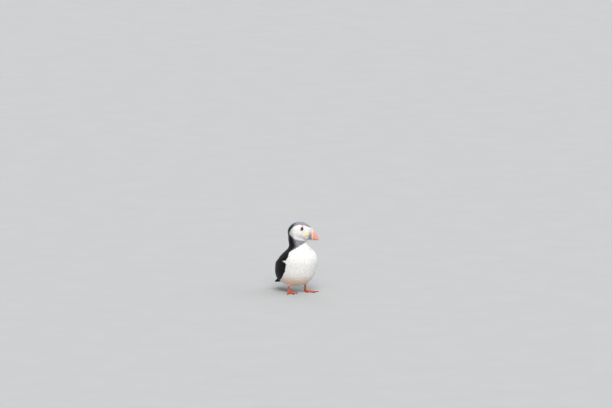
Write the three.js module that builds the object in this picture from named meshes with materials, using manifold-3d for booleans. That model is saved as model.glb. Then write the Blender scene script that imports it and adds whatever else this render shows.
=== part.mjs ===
// Atlantic puffin, life size, standing upright with its head turned to its left.
// Millimetres, +Z up. The breast faces -Y and the bird's left side is +X.
// The origin ends up on the floor, under the middle of the bird's bounding box.
import * as THREE from "three";
import { mergeVertices } from "three/addons/utils/BufferGeometryUtils.js";
import Module from "manifold-3d";

const wasm = await Module();
wasm.setup();

// ---------------------------------------------------------------- driving dimensions
const GAP = 0.3; // clearance between pieces that meet
const DEG = Math.PI / 180;

// Trunk and neck: height, breast line, back line and half-width of level sections.
const BODY = [
  [16.5, -12, -12, 0],
  [18.0, 7, -33, 17],
  [23.0, 21, -50, 29.5],
  [31.0, 34, -59, 39.5],
  [43.0, 45, -62, 47.5],
  [58.0, 52.5, -62, 52],
  [72.0, 57.5, -58.5, 53],
  [86.0, 61, -53, 53],
  [99.0, 60.5, -42, 50],
  [111.0, 55.5, -27.5, 41.5],
  [121.0, 47, -18, 31.5],
  [129.0, 38.5, -17.5, 26],
  [138.0, 28, -24, 23.8],
  [148.0, 20, -28, 22],
  [157.0, 12, -23, 17],
  [163.0, -3, -12, 0],
];

// The neck's feathers end on a slant, high at the throat and low between the shoulders.
const COLLAR = { throat: 140, slope: 24 * DEG, forward: 30 };
// The dark back begins behind a steep slant and ends just above the tail.
const MANTLE = { forward: 15, z: 101, slope: 74 * DEG, lowest: 46 };

// Head: its eye line is level here, and the whole head is then turned and dipped.
const HEAD = { x: 9.9, forward: 6.9, z: 172.6, turn: 52 * DEG, dip: 12 * DEG };
// Along the head: crown, throat, height of the widest part and half-width.
const SKULL = [
  [-35.6, -13, -13, -13, 0],
  [-35.1, -8.2, -17.6, -13, 4.6],
  [-33.2, -3.0, -22.8, -12.8, 9.0],
  [-28.6, 5.0, -28.6, -12, 14.6],
  [-22.5, 10.8, -31, -10.5, 18.6],
  [-14, 15.8, -31.2, -9, 21],
  [-5, 18.4, -30.4, -8.5, 21.6],
  [4, 18.4, -29.4, -9, 19.8],
  [12, 16.3, -28.4, -9.8, 16.4],
  [20, 12.6, -27.3, -10.2, 12.2],
  [27, 7.5, -25.8, -10.6, 8.6],
  [33, 1, -22.5, -11, 5],
];
const EYE = { along: 2.8, up: 2.4, radius: 4.5, showing: 3.5 };

// Bill: along it, the ridge of the upper half, the bottom edge of the lower half, half-width.
const BILL = [
  [13.0, 15.0, -27.4, 9.8],
  [22.0, 10.6, -26.3, 8.8],
  [28.3, 7.0, -25.2, 7.5],
  [35.0, 2.7, -23.8, 6.1],
  [41.0, -2.3, -22.3, 4.8],
  [46.0, -7.9, -20.9, 3.6],
  [49.8, -13.4, -19.7, 2.5],
  [52.4, -18.8, -19.0, 0.9],
];
const MOUTH = { gape: -13.7, drop: 5.2, from: 18, to: 52.5 }; // the line between the halves
const BILL_BASE = { along: 22.6, lean: 8 * DEG, ridge: 2.8, lower: 15.6 };
const ROSETTE = { along: 19.0, up: -11.0, length: 5.6, height: 4.8, depth: 2.6 };

// Folded wing: around the body from the breast, height of the lower and upper edge, lift.
const WING = [
  [68, 71.0, 73.0, 0.9],
  [70, 61.5, 85.0, 1.4],
  [74.5, 53.0, 90.5, 1.8],
  [84, 43.5, 94.5, 2.2],
  [98, 35.0, 96.0, 2.6],
  [114, 29.5, 93.5, 3.2],
  [132, 26.5, 85.5, 4.4],
  [149, 24.8, 71.5, 6.4],
  [161, 23.8, 56.0, 10.5],
  [168, 23.2, 42.0, 17.0],
  [171.5, 23.5, 31.0, 24.5],
];
const WING_THICK = { root: 5.2, tip: 2.2 };

// Tail: how far back, height of its middle, half-width and half-thickness.
const TAIL = [
  [-48, 49, 9, 3],
  [-56, 43.5, 14, 6.4],
  [-66, 36, 17, 5.4],
  [-76, 28.6, 18.6, 3.6],
  [-86, 21.8, 18.4, 2.2],
  [-93, 17.2, 14.5, 1.4],
  [-96, 15.2, 7, 0.8],
];

// Legs and webbed feet.
const LEG = { apart: 25.6, hock: 1, hockZ: 27, base: 0, baseZ: 6.2, wide: 2.1, deep: 3.0 };
const FOOT = { out: 9 * DEG, web: 1.3 };
const TOES = {
  inner: { spread: -27 * DEG, length: 27, claw: 6.5 },
  middle: { spread: 0, length: 37, claw: 7 },
  outer: { spread: 27 * DEG, length: 35, claw: 6 },
};

// ---------------------------------------------------------------- shape helpers
// A smooth curve through rows of numbers, read at any place from 0 to 1 along the rows.
function through(rows) {
  const at = rows.map((row, i) => i);
  const curve = new THREE.CubicInterpolant(at, rows.flat(), rows[0].length);
  return (t) => Array.from(curve.evaluate(t * (rows.length - 1)));
}

// Where along a curve its first number reaches a value: the rows rise steadily in it.
function whereFirstIs(curve, value) {
  let [low, high] = [0, 1];
  for (let i = 0; i < 40; i++) {
    const middle = (low + high) / 2;
    if (curve(middle)[0] < value) low = middle;
    else high = middle;
  }
  return (low + high) / 2;
}

// A closed skin over rings of points. Every ring has the same number of points.
function loft(rings) {
  const size = rings[0].length;
  const points = rings.flat();
  const index = [];
  const cap = (ring, offset, reversed) => {
    const middle = ring.reduce((a, p) => a.add(p), new THREE.Vector3());
    const hub = points.push(middle.divideScalar(size)) - 1;
    for (let i = 0; i < size; i++) {
      const pair = [offset + i, offset + ((i + 1) % size)];
      index.push(hub, ...(reversed ? pair.reverse() : pair));
    }
  };
  for (let r = 0; r + 1 < rings.length; r++)
    for (let i = 0; i < size; i++) {
      const [a, b] = [r * size + i, r * size + ((i + 1) % size)];
      index.push(a, a + size, b, b, a + size, b + size);
    }
  cap(rings[0], 0, false);
  cap(rings.at(-1), (rings.length - 1) * size, true);
  return new THREE.BufferGeometry().setFromPoints(points).setIndex(index);
}

function ring(size, point) {
  return Array.from({ length: size }, (_, i) => point((2 * Math.PI * i) / size));
}

function steps(count, make) {
  return Array.from({ length: count + 1 }, (_, i) => make(i / count));
}

// three.js geometry to a manifold-3d solid and back.
function solid(geometry) {
  const bare = geometry.index ? geometry.toNonIndexed() : geometry.clone();
  for (const name of Object.keys(bare.attributes))
    if (name !== "position") bare.deleteAttribute(name);
  const merged = mergeVertices(bare, 1e-4);
  const triVerts = new Uint32Array(merged.index.array);
  const build = () =>
    new wasm.Manifold(
      new wasm.Mesh({
        numProp: 3,
        vertProperties: new Float32Array(merged.attributes.position.array),
        triVerts,
      }),
    );
  const made = build();
  if (made.volume() > 0) return made;
  for (let i = 0; i < triVerts.length; i += 3)
    [triVerts[i + 1], triVerts[i + 2]] = [triVerts[i + 2], triVerts[i + 1]];
  return build();
}

function geometryOf(made) {
  const { numProp, vertProperties, triVerts } = made.getMesh();
  const positions = new Float32Array((vertProperties.length / numProp) * 3);
  for (let i = 0; i < positions.length / 3; i++)
    positions.set(vertProperties.subarray(i * numProp, i * numProp + 3), i * 3);
  const geometry = new THREE.BufferGeometry();
  geometry.setAttribute("position", new THREE.BufferAttribute(positions, 3));
  geometry.setIndex(new THREE.BufferAttribute(triVerts, 1));
  geometry.computeVertexNormals();
  return geometry;
}

// The largest piece of a solid, without the crumbs that a cut can leave.
function largest(made) {
  return made.decompose().sort((a, b) => b.volume() - a.volume())[0];
}

function block(lowCorner, highCorner, matrix = new THREE.Matrix4()) {
  const [low, high] = [new THREE.Vector3(...lowCorner), new THREE.Vector3(...highCorner)];
  const size = high.clone().sub(low);
  const middle = low.clone().add(high).divideScalar(2);
  const box = new THREE.BoxGeometry(size.x, size.y, size.z);
  return solid(box.translate(middle.x, middle.y, middle.z).applyMatrix4(matrix));
}

function moved(made, matrix) {
  return solid(geometryOf(made).applyMatrix4(matrix));
}

// The same solid with every face pushed out by a distance.
function grown(made, distance) {
  const flat = geometryOf(made).toNonIndexed();
  const corners = flat.attributes.position;
  const facing = new Map();
  const key = (p) => p.toArray().map((value) => Math.round(value * 1e3)).join();
  const corner = (i) => new THREE.Vector3().fromBufferAttribute(corners, i);
  for (let i = 0; i < corners.count; i += 3) {
    const [a, b, c] = [corner(i), corner(i + 1), corner(i + 2)];
    const normal = new THREE.Triangle(a, b, c).getNormal(new THREE.Vector3());
    if (normal.length() < 0.5) continue;
    for (const [p, q, r] of [[a, b, c], [b, c, a], [c, a, b]]) {
      const angle = q.clone().sub(p).angleTo(r.clone().sub(p));
      if (!facing.has(key(p))) facing.set(key(p), []);
      facing.get(key(p)).push({ normal, angle });
    }
  }
  for (let i = 0; i < corners.count; i++) {
    const faces = facing.get(key(corner(i)));
    const out = new THREE.Vector3();
    for (const { normal, angle } of faces) out.addScaledVector(normal, angle);
    out.normalize();
    const least = Math.min(...faces.map(({ normal }) => normal.dot(out)));
    const place = corner(i).addScaledVector(out, distance / Math.max(least, 0.35));
    corners.setXYZ(i, place.x, place.y, place.z);
  }
  return solid(flat);
}

function mirrored(made) {
  return moved(made, new THREE.Matrix4().makeScale(-1, 1, 1));
}

// ---------------------------------------------------------------- trunk and neck
const bodyCurve = through(BODY);

// A point of the body's surface: angle 0 is the breast, 90 the bird's left, 180 the back.
function bodyPoint(t, angle, out = 0) {
  const [z, front, back, halfWidth] = bodyCurve(t);
  const middle = (front + back) / 2;
  const halfDepth = Math.max(front - back, 0) / 2;
  const wide = Math.max(halfWidth, 0);
  const forward = middle + (halfDepth + out) * Math.cos(angle);
  return new THREE.Vector3((wide + out) * Math.sin(angle), -forward, z);
}

function wholeBody() {
  const around = 32;
  const rings = steps(25, (t) =>
    ring(around, (angle) => bodyPoint(0.004 + 0.992 * t, angle)),
  );
  return solid(loft(rings));
}

// Everything above a slant that rises towards the breast, moved up by a distance.
function aboveSlant(forward, z, slope, lift) {
  const matrix = new THREE.Matrix4()
    .makeTranslation(0, -forward, z + lift)
    .multiply(new THREE.Matrix4().makeRotationX(-slope));
  return block([-200, -200, 0], [200, 200, 200], matrix);
}

function aboveCollar(lift) {
  return aboveSlant(COLLAR.forward, COLLAR.throat, COLLAR.slope, lift);
}

// The room of the dark back: behind its slant and above the tail.
function mantleRoom(lift) {
  const { forward, z, slope, lowest } = MANTLE;
  const high = block([-200, -200, lowest + lift], [200, 200, 300]);
  return aboveSlant(forward, z, slope, lift / Math.cos(slope)).intersect(high);
}

// ---------------------------------------------------------------- head
const skullCurve = through(SKULL);
const billCurve = through(BILL);

// Head-frame axes: x runs to the bill, y to the head's left, z up.
function headMatrix() {
  const turned = new THREE.Matrix4().makeRotationZ(HEAD.turn - Math.PI / 2);
  const dipped = new THREE.Matrix4().makeRotationY(HEAD.dip);
  return new THREE.Matrix4()
    .makeTranslation(HEAD.x, -HEAD.forward, HEAD.z)
    .multiply(turned)
    .multiply(dipped);
}

function skull() {
  const around = 24;
  const rings = steps(17, (t) => {
    const [along, top, bottom, middle, halfWidth] = skullCurve(0.004 + 0.992 * t);
    return ring(around, (angle) => {
      const reach = Math.cos(angle) > 0 ? top - middle : middle - bottom;
      const up = Math.max(reach, 0) * Math.cos(angle);
      return new THREE.Vector3(along, Math.max(halfWidth, 0) * Math.sin(angle), middle + up);
    });
  });
  return solid(loft(rings));
}

function eyeSpot(side) {
  const t = whereFirstIs(skullCurve, EYE.along);
  const [, top, , middle, halfWidth] = skullCurve(t);
  const rise = (EYE.up - middle) / (top - middle);
  const cheek = halfWidth * Math.sqrt(1 - rise * rise);
  const sunk = Math.sqrt(EYE.radius ** 2 - EYE.showing ** 2);
  return new THREE.Vector3(EYE.along, side * (cheek - sunk), EYE.up);
}

function ball(radius, place, stretch = [1, 1, 1]) {
  const shape = new THREE.SphereGeometry(radius, 12, 6);
  return shape.scale(...stretch).translate(place.x, place.y, place.z);
}

// ---------------------------------------------------------------- bill
function mouthAt(along) {
  const share = (along - MOUTH.from) / (MOUTH.to - MOUTH.from);
  return MOUTH.gape - MOUTH.drop * share * share;
}

// One half of the bill, as sections that narrow from the mouth line to the outer edge.
function billHalf(upper, proud) {
  const sideSteps = 5;
  const rings = steps(13, (t) => {
    const [along, ridge, keel, halfWidth] = billCurve(t);
    const inner = mouthAt(along) + (upper ? GAP / 2 : -GAP / 2);
    const outer = upper ? ridge + proud : keel;
    const outline = [];
    for (let i = 0; i <= sideSteps; i++) {
      const share = i / sideSteps;
      const narrow = upper ? 1 - 0.62 * share ** 1.2 : 1 - 0.5 * share ** 1.6;
      const round = Math.sqrt(Math.max(0, 1 - share ** 6));
      const wide = (halfWidth + proud) * (narrow * (0.12 + 0.88 * round));
      outline.push([wide, inner + (outer - inner) * share]);
    }
    const right = outline.map(([wide, z]) => new THREE.Vector3(along, -wide, z));
    const left = outline.map(([wide, z]) => new THREE.Vector3(along, wide, z));
    return [...right, ...left.reverse()];
  });
  return solid(loft(rings));
}

// The space in front of the upper bill's leaning base, moved forward by a distance.
function beforeBase(forward) {
  const matrix = new THREE.Matrix4()
    .makeTranslation(BILL_BASE.along + forward, 0, 0)
    .multiply(new THREE.Matrix4().makeRotationY(BILL_BASE.lean));
  return block([0, -60, -80], [80, 60, 80], matrix);
}

function rosette(side) {
  const t = whereFirstIs(billCurve, ROSETTE.along);
  const place = new THREE.Vector3(ROSETTE.along, side * (billCurve(t)[3] + 1.0), ROSETTE.up);
  const sizes = [ROSETTE.length, ROSETTE.depth, ROSETTE.height];
  return solid(ball(1, place, sizes));
}

function makeBill() {
  const rosettes = grown(rosette(-1), GAP).add(grown(rosette(1), GAP));
  const upper = billHalf(true, 0).intersect(beforeBase(BILL_BASE.ridge + GAP));
  const band = billHalf(true, 0.9)
    .intersect(beforeBase(0))
    .subtract(beforeBase(BILL_BASE.ridge));
  const lowerZone = block([BILL_BASE.lower, -60, -80], [90, 60, 0]);
  const lower = billHalf(false, 0).intersect(lowerZone);
  return {
    bill_upper: largest(upper.subtract(rosettes)),
    bill_base_ridge: largest(band.subtract(rosettes)),
    bill_lower: largest(lower.subtract(rosettes)),
  };
}

// What the feathered head leaves free for the bill.
function billRoom() {
  const upperRoom = beforeBase(-GAP).intersect(block([0, -60, -15], [90, 60, 60]));
  const lowerRoom = grown(billHalf(false, 0), GAP).intersect(
    block([BILL_BASE.lower - GAP, -60, -80], [90, 60, 0]),
  );
  const chinRoom = block([BILL_BASE.along + 1, -60, -80], [90, 60, -14]);
  return upperRoom.add(lowerRoom).add(chinRoom);
}

function makeHead() {
  let head = skull().subtract(billRoom());
  for (const side of [-1, 1]) {
    head = head.subtract(grown(rosette(side), GAP));
    head = head.subtract(solid(ball(EYE.radius + GAP, eyeSpot(side))));
  }
  return largest(head);
}

// ---------------------------------------------------------------- wings
const wingCurve = through(WING);

// The folded wing as a curved slab over the body's side, on the bird's left.
function wing() {
  const across = 6;
  const rings = steps(18, (t) => {
    const [degrees, low, high, lift] = wingCurve(t);
    const thick = THREE.MathUtils.lerp(WING_THICK.root, WING_THICK.tip, t);
    const skinPoint = (share, out) => {
      const z = THREE.MathUtils.lerp(low, high, share);
      const edge = 1 - Math.abs(2 * share - 1) ** 4;
      const depth = lift - (1 - edge) * 0.12 * thick - out * edge * thick;
      const place = whereFirstIs(bodyCurve, THREE.MathUtils.clamp(z, 16.6, 162));
      return bodyPoint(place, degrees * DEG, depth);
    };
    const outer = steps(across, (share) => skinPoint(share, 0));
    const inner = steps(across, (share) => skinPoint(1 - share, 1)).slice(1, -1);
    return [...outer, ...inner];
  });
  return solid(loft(rings));
}

// ---------------------------------------------------------------- tail
function tail() {
  const curve = through(TAIL);
  const fall = new THREE.Vector3(0, 0.58, -0.81);
  const rings = steps(9, (t) => {
    const [forward, z, halfWidth, halfThick] = curve(t);
    return ring(16, (angle) => {
      const up = halfThick * Math.cos(angle);
      const side = halfWidth * Math.sin(angle);
      const arch = -0.1 * ((side * side) / halfWidth);
      const middle = new THREE.Vector3(side, -forward, z);
      return middle.addScaledVector(new THREE.Vector3(0, -fall.z, fall.y), up + arch);
    });
  });
  return solid(loft(rings));
}

// ---------------------------------------------------------------- legs and feet
function tube(points, radii, count, around) {
  const curve = new THREE.CatmullRomCurve3(points);
  const size = through(radii);
  const rings = steps(count, (t) => {
    const place = curve.getPoint(t);
    const along = curve.getTangent(t);
    const side = new THREE.Vector3(0, 0, 1).cross(along);
    if (side.length() < 0.3) side.set(1, 0, 0);
    side.normalize();
    const up = along.clone().cross(side).normalize();
    const [wide, deep] = size(t);
    return ring(around, (angle) =>
      place
        .clone()
        .addScaledVector(side, wide * Math.cos(angle))
        .addScaledVector(up, deep * Math.sin(angle)),
    );
  });
  return solid(loft(rings));
}

function tarsus() {
  const { apart, hock, hockZ, base, baseZ, wide, deep } = LEG;
  const middle = new THREE.Vector3(apart, -(hock + base) / 2 + 0.6, (hockZ + baseZ) / 2);
  const top = new THREE.Vector3(apart - 0.6, -hock, hockZ + 7);
  const bottom = new THREE.Vector3(apart, -base, baseZ + GAP);
  const radii = [
    [wide + 1.0, deep + 0.7],
    [wide + 0.3, deep + 0.2],
    [wide - 0.1, deep - 0.1],
    [wide + 0.4, deep + 0.4],
  ];
  return tube([top, middle, bottom], radii, 5, 8);
}

// A direction and a point on the floor, seen from the foot's own base.
function footPlace(angle, reach, z = 0) {
  const heading = FOOT.out + angle;
  return new THREE.Vector3(
    LEG.apart + reach * Math.sin(heading),
    -(LEG.base + reach * Math.cos(heading)),
    z,
  );
}

function toe({ spread, length }) {
  const radius = (t) => 2.25 - 0.75 * t + 0.25 * Math.cos(4 * Math.PI * t);
  const rows = steps(8, (t) => [radius(t), radius(t) * 0.9]);
  const height = (t) => 1.7 - 0.35 * t;
  const points = steps(6, (t) => footPlace(spread, -2 + (length + 2) * t, height(t)));
  return tube(points, rows, 8, 6);
}

function claw({ spread, length, claw: size }) {
  const rise = 0.9;
  const points = steps(5, (t) =>
    footPlace(spread, length + GAP + size * t, 1.55 + rise * Math.sin(Math.PI * t) - 1.1 * t),
  );
  const rows = steps(5, (t) => [1.15 * (1 - t) + 0.18, 1.3 * (1 - t) + 0.2]);
  return tube(points, rows, 4, 6);
}

// The web: straight edges along the outer toes and hollow edges between the claws.
function web() {
  const tip = ({ spread, length }) => footPlace(spread, length - 2.5);
  const hollow = (a, b, reach) => footPlace((a.spread + b.spread) / 2, reach);
  const { inner, middle, outer } = TOES;
  const outline = new THREE.Shape();
  const heel = footPlace(0, -3);
  outline.moveTo(heel.x, heel.y);
  outline.lineTo(tip(inner).x, tip(inner).y);
  const first = hollow(inner, middle, 23);
  outline.quadraticCurveTo(first.x, first.y, tip(middle).x, tip(middle).y);
  const second = hollow(middle, outer, 27);
  outline.quadraticCurveTo(second.x, second.y, tip(outer).x, tip(outer).y);
  outline.lineTo(heel.x, heel.y);
  const shape = new THREE.ExtrudeGeometry(outline, {
    depth: FOOT.web,
    bevelEnabled: false,
    curveSegments: 5,
  });
  return solid(shape);
}

function foot() {
  let made = web();
  for (const one of Object.values(TOES)) made = made.add(toe(one));
  const heel = footPlace(0, -1.2, LEG.baseZ / 2);
  made = made.add(solid(ball(1, heel, [3.7, 6.2, LEG.baseZ / 2 + 1.2])));
  const keep = block([-200, -200, 0], [200, 200, LEG.baseZ]);
  return largest(made.intersect(keep));
}

// ---------------------------------------------------------------- materials
function finish(color, roughness) {
  return new THREE.MeshStandardMaterial({ color, roughness, metalness: 0 });
}
const MATERIALS = {
  white: finish(0xf1f0ec, 0.85),
  face: finish(0xd9dad8, 0.85),
  black: finish(0x17161a, 0.7),
  collar: finish(0x4b484e, 0.8),
  billRed: finish(0xe2552f, 0.35),
  billSlate: finish(0x5d6c80, 0.4),
  cream: finish(0xe9d9a0, 0.5),
  yellow: finish(0xf0c53a, 0.6),
  leg: finish(0xe8622a, 0.5),
  claw: finish(0x1d1a19, 0.4),
  eye: finish(0x1c1210, 0.1),
};

function piece(name, made, material) {
  const mesh = new THREE.Mesh(geometryOf(made), material);
  mesh.name = name;
  return mesh;
}

// ---------------------------------------------------------------- the bird
function makePuffin() {
  const turnHead = headMatrix();
  const body = wholeBody();
  const wingRoom = grown(wing(), GAP);
  const wingsRoom = wingRoom.add(mirrored(wingRoom));
  const tailPiece = largest(tail().subtract(wingsRoom));
  const legRoom = grown(tarsus(), GAP);

  let trunk = body.subtract(aboveCollar(0)).subtract(wingsRoom);
  trunk = trunk.subtract(grown(tail(), GAP));
  trunk = trunk.subtract(legRoom).subtract(mirrored(legRoom));
  let neck = body.intersect(aboveCollar(GAP)).subtract(moved(grown(skull(), GAP), turnHead));
  neck = neck.subtract(moved(grown(billHalf(false, 0), GAP), turnHead));

  const bird = new THREE.Group();
  bird.add(piece("trunk", largest(trunk.subtract(mantleRoom(0))), MATERIALS.white));
  bird.add(piece("back", largest(trunk.intersect(mantleRoom(GAP))), MATERIALS.black));
  bird.add(piece("neck", largest(neck), MATERIALS.collar));
  bird.add(piece("tail", tailPiece, MATERIALS.black));
  bird.add(piece("wing_left", wing(), MATERIALS.black));
  bird.add(piece("wing_right", mirrored(wing()), MATERIALS.black));
  bird.add(headGroup(turnHead));
  bird.add(legGroup("left", (made) => made));
  bird.add(legGroup("right", mirrored));
  return bird;
}

function headGroup(matrix) {
  const group = new THREE.Group();
  matrix.decompose(group.position, group.quaternion, group.scale);
  group.add(piece("head", makeHead(), MATERIALS.face));
  const bill = makeBill();
  group.add(piece("bill_upper", bill.bill_upper, MATERIALS.billRed));
  group.add(piece("bill_lower", bill.bill_lower, MATERIALS.billRed));
  group.add(piece("bill_base_ridge", bill.bill_base_ridge, MATERIALS.cream));
  for (const [name, side] of [["left", 1], ["right", -1]]) {
    group.add(piece(`rosette_${name}`, rosette(side), MATERIALS.yellow));
    group.add(piece(`eye_${name}`, solid(ball(EYE.radius, eyeSpot(side))), MATERIALS.eye));
  }
  return group;
}

function legGroup(side, place) {
  const group = new THREE.Group();
  group.add(piece(`tarsus_${side}`, place(tarsus()), MATERIALS.leg));
  group.add(piece(`foot_${side}`, place(foot()), MATERIALS.leg));
  for (const [name, one] of Object.entries(TOES))
    group.add(piece(`claw_${name}_${side}`, place(claw(one)), MATERIALS.claw));
  return group;
}

const puffin = makePuffin();
const bounds = new THREE.Box3().setFromObject(puffin, true);
const middle = bounds.getCenter(new THREE.Vector3());
puffin.position.set(-middle.x, -middle.y, -bounds.min.z);

export default puffin;
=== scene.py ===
"""Atlantic puffin: feathers, skin, bill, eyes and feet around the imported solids.

Lengths are in millimetres in the row's frame (+Z up, breast towards -Y, the bird's left
towards +X) until a mesh is made, and in metres from there on.
"""
import math

import bmesh
import bpy
import numpy as np
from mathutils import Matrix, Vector
from mathutils.bvhtree import BVHTree


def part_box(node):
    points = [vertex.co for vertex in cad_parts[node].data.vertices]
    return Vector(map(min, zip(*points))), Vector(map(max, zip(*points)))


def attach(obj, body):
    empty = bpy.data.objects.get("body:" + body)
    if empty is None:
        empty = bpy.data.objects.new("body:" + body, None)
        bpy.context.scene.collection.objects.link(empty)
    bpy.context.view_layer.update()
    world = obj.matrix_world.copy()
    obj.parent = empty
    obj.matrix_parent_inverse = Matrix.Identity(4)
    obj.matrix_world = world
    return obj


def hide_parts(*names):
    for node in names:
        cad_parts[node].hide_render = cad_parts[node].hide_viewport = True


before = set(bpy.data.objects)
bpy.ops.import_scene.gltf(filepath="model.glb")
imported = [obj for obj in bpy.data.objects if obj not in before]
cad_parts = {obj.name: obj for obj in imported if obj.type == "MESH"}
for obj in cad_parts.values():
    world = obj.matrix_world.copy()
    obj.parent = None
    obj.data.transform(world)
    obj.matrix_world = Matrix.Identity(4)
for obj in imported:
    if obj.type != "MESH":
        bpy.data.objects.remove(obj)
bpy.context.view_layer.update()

MM = 0.001
SIDES = (("left", 1.0), ("right", -1.0))
rng = np.random.default_rng(1909)

# ---- dimensions of the solids
SHIFT_Y = -17.71  # the solids are built round the bird's own axis, then centred on the floor
# Trunk and neck: height, breast line, back line and half-width of level sections.
BODY = [
    [16.5, -12, -12, 0], [18.0, 7, -33, 17], [23.0, 21, -50, 29.5], [31.0, 34, -59, 39.5],
    [43.0, 45, -62, 47.5], [58.0, 52.5, -62, 52], [72.0, 57.5, -58.5, 53], [86.0, 61, -53, 53],
    [99.0, 60.5, -42, 50], [111.0, 55.5, -27.5, 41.5], [121.0, 47, -18, 31.5],
    [129.0, 38.5, -17.5, 26], [138.0, 28, -24, 23.8], [148.0, 20, -28, 22],
    [157.0, 12, -23, 17], [163.0, -3, -12, 0],
]
# Folded wing: angle round the body from the breast, lower and upper edge, lift.
WING = [
    [68, 71.0, 73.0, 0.9], [70, 61.5, 85.0, 1.4], [74.5, 53.0, 90.5, 1.8],
    [84, 43.5, 94.5, 2.2], [98, 35.0, 96.0, 2.6], [114, 29.5, 93.5, 3.2],
    [132, 26.5, 85.5, 4.4], [149, 24.8, 71.5, 6.4], [161, 23.8, 56.0, 10.5],
    [168, 23.2, 42.0, 17.0], [171.5, 23.5, 31.0, 24.5],
]
# Tail: how far back, height of its middle, half-width and half-thickness.
TAIL = [
    [-48, 49, 9, 3], [-56, 43.5, 14, 6.4], [-66, 36, 17, 5.4], [-76, 28.6, 18.6, 3.6],
    [-86, 21.8, 18.4, 2.2], [-93, 17.2, 14.5, 1.4], [-96, 15.2, 7, 0.8],
]
# Bill: along it, ridge of the upper half, edge of the lower half, half-width.
BILL = [
    [13.0, 15.0, -27.4, 9.8], [22.0, 10.6, -26.3, 8.8], [28.3, 7.0, -25.2, 7.5],
    [35.0, 2.7, -23.8, 6.1], [41.0, -2.3, -22.3, 4.8], [46.0, -7.9, -20.9, 3.6],
    [49.8, -13.4, -19.7, 2.5], [52.4, -18.8, -19.0, 0.9],
]
HEAD_AT = np.array([9.9, -6.9 + SHIFT_Y, 172.6])
HEAD_TURN, HEAD_DIP = math.radians(52 - 90), math.radians(12)
HEAD_MIDDLE, HEAD_SIZE = [-3, 0, -8], [34, 25, 28]  # a rounded space that holds the head
MOUTH_GAPE, MOUTH_DROP, MOUTH_FROM, MOUTH_TO = -13.7, 5.2, 18.0, 52.5
BASE_ALONG, BASE_LEAN, LOWER_BASE = 22.6, math.tan(math.radians(8)), 15.6
BILL_TIP = 52.4
ROSETTE = (19.0, -11.0, 5.6, 2.6, 4.8)  # along, up, then its three half-sizes
EYE_RADIUS, EYE_BARE = 4.5, 5.15  # the eyeball, and the bare place round its middle
THIGH_APART, THIGH_BACK = 25.2, 0.6  # the feathered tops of the legs
LEG_APART, LEG_HOCK, LEG_HOCK_Z, LEG_BASE, LEG_BASE_Z = 25.6, 1.0, 27.0, 0.0, 6.2
FOOT_OUT = math.radians(9)
TOES = {  # spread, length, claw
    "inner": (math.radians(-27), 27.0, 6.5),
    "middle": (0.0, 37.0, 7.0),
    "outer": (math.radians(27), 35.0, 6.0),
}


# ---- small maths
def smooth(value, low, high):
    t = np.clip((np.asarray(value, float) - low) / (high - low), 0, 1)
    return t * t * (3 - 2 * t)


def gauss(value, centre, spread):
    return np.exp(-((value - centre) / spread) ** 2)


def unit(v):
    return v / np.maximum(np.linalg.norm(v, axis=-1, keepdims=True), 1e-9)


def mix(a, b, share):
    return a * (1 - share) + b * share


def circle(count):
    return np.linspace(0, 2 * math.pi, count, endpoint=False)


def level(way, normals):
    """Directions laid into the surface that has these normals."""
    return unit(way - (way * normals).sum(1, keepdims=True) * normals)


def through(rows):
    """The smooth curve that the solids use, read at 0..1 along the rows."""
    rows = np.asarray(rows, float)
    count = len(rows)

    def read_at(t):
        x = np.clip(np.asarray(t, float), 0, 1) * (count - 1)
        i = np.clip(np.floor(x).astype(int), 0, count - 2)
        p = (x - i)[..., None]
        first, last = (i == 0)[..., None], (i == count - 2)[..., None]
        before = np.where(first, rows[1], rows[np.maximum(i - 1, 0)])
        after = np.where(last, rows[count - 2], rows[np.minimum(i + 2, count - 1)])
        wp, wn = np.where(first, -0.5, 0.5), np.where(last, -0.5, 0.5)
        p2, p3 = p * p, p * p * p
        return (
            (-wp * p3 + 2 * wp * p2 - wp * p) * before
            + ((1 + wp) * p3 + (-1.5 - 2 * wp) * p2 + (-0.5 + wp) * p + 1) * rows[i]
            + ((-1 - wn) * p3 + (1.5 + wn) * p2 + 0.5 * p) * rows[i + 1]
            + (wn * p3 - wn * p2) * after
        )

    return read_at


body_curve, wing_curve, tail_curve, bill_curve = map(through, (BODY, WING, TAIL, BILL))
FINE = np.linspace(0, 1, 1500)
BODY_Z = np.maximum.accumulate(body_curve(FINE)[:, 0])
BILL_U = bill_curve(FINE)[:, 0]
WING_ROWS = wing_curve(np.linspace(0, 1, 200))


def body_section(z):
    """Middle, half-depth and half-width of the body at a height."""
    row = body_curve(np.interp(z, BODY_Z, FINE))
    half = np.maximum(row[..., 1] - row[..., 2], 0.02) / 2
    return (row[..., 1] + row[..., 2]) / 2, half, np.maximum(row[..., 3], 0.02)


def body_point(z, angle, out):
    """angle 0 is the breast, pi/2 the bird's left, pi the back."""
    middle, depth, wide = body_section(z)
    forward = middle + (depth + out) * np.cos(angle)
    return np.stack([(wide + out) * np.sin(angle), SHIFT_Y - forward, z + 0 * out], -1)


def body_angle(points, centre=0.0):
    """Angle round the body in degrees, 0 at the breast and 180 at the back."""
    z = np.clip(points[:, 2], 17, 162)
    middle, depth, wide = body_section(z)
    forward = SHIFT_Y - points[:, 1]
    angle = np.degrees(np.arctan2(points[:, 0] / wide, (forward - middle) / depth)) - centre
    return np.abs((angle + 180) % 360 - 180)


c, s = math.cos(HEAD_TURN), math.sin(HEAD_TURN)
turned = np.array([[c, -s, 0], [s, c, 0], [0, 0, 1]])
c, s = math.cos(HEAD_DIP), math.sin(HEAD_DIP)
HEAD_AXES = turned @ np.array([[c, 0, s], [0, 1, 0], [-s, 0, c]])


def head_local(points):
    return (points - HEAD_AT) @ HEAD_AXES


def head_world(local):
    return local @ HEAD_AXES.T + HEAD_AT


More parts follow.
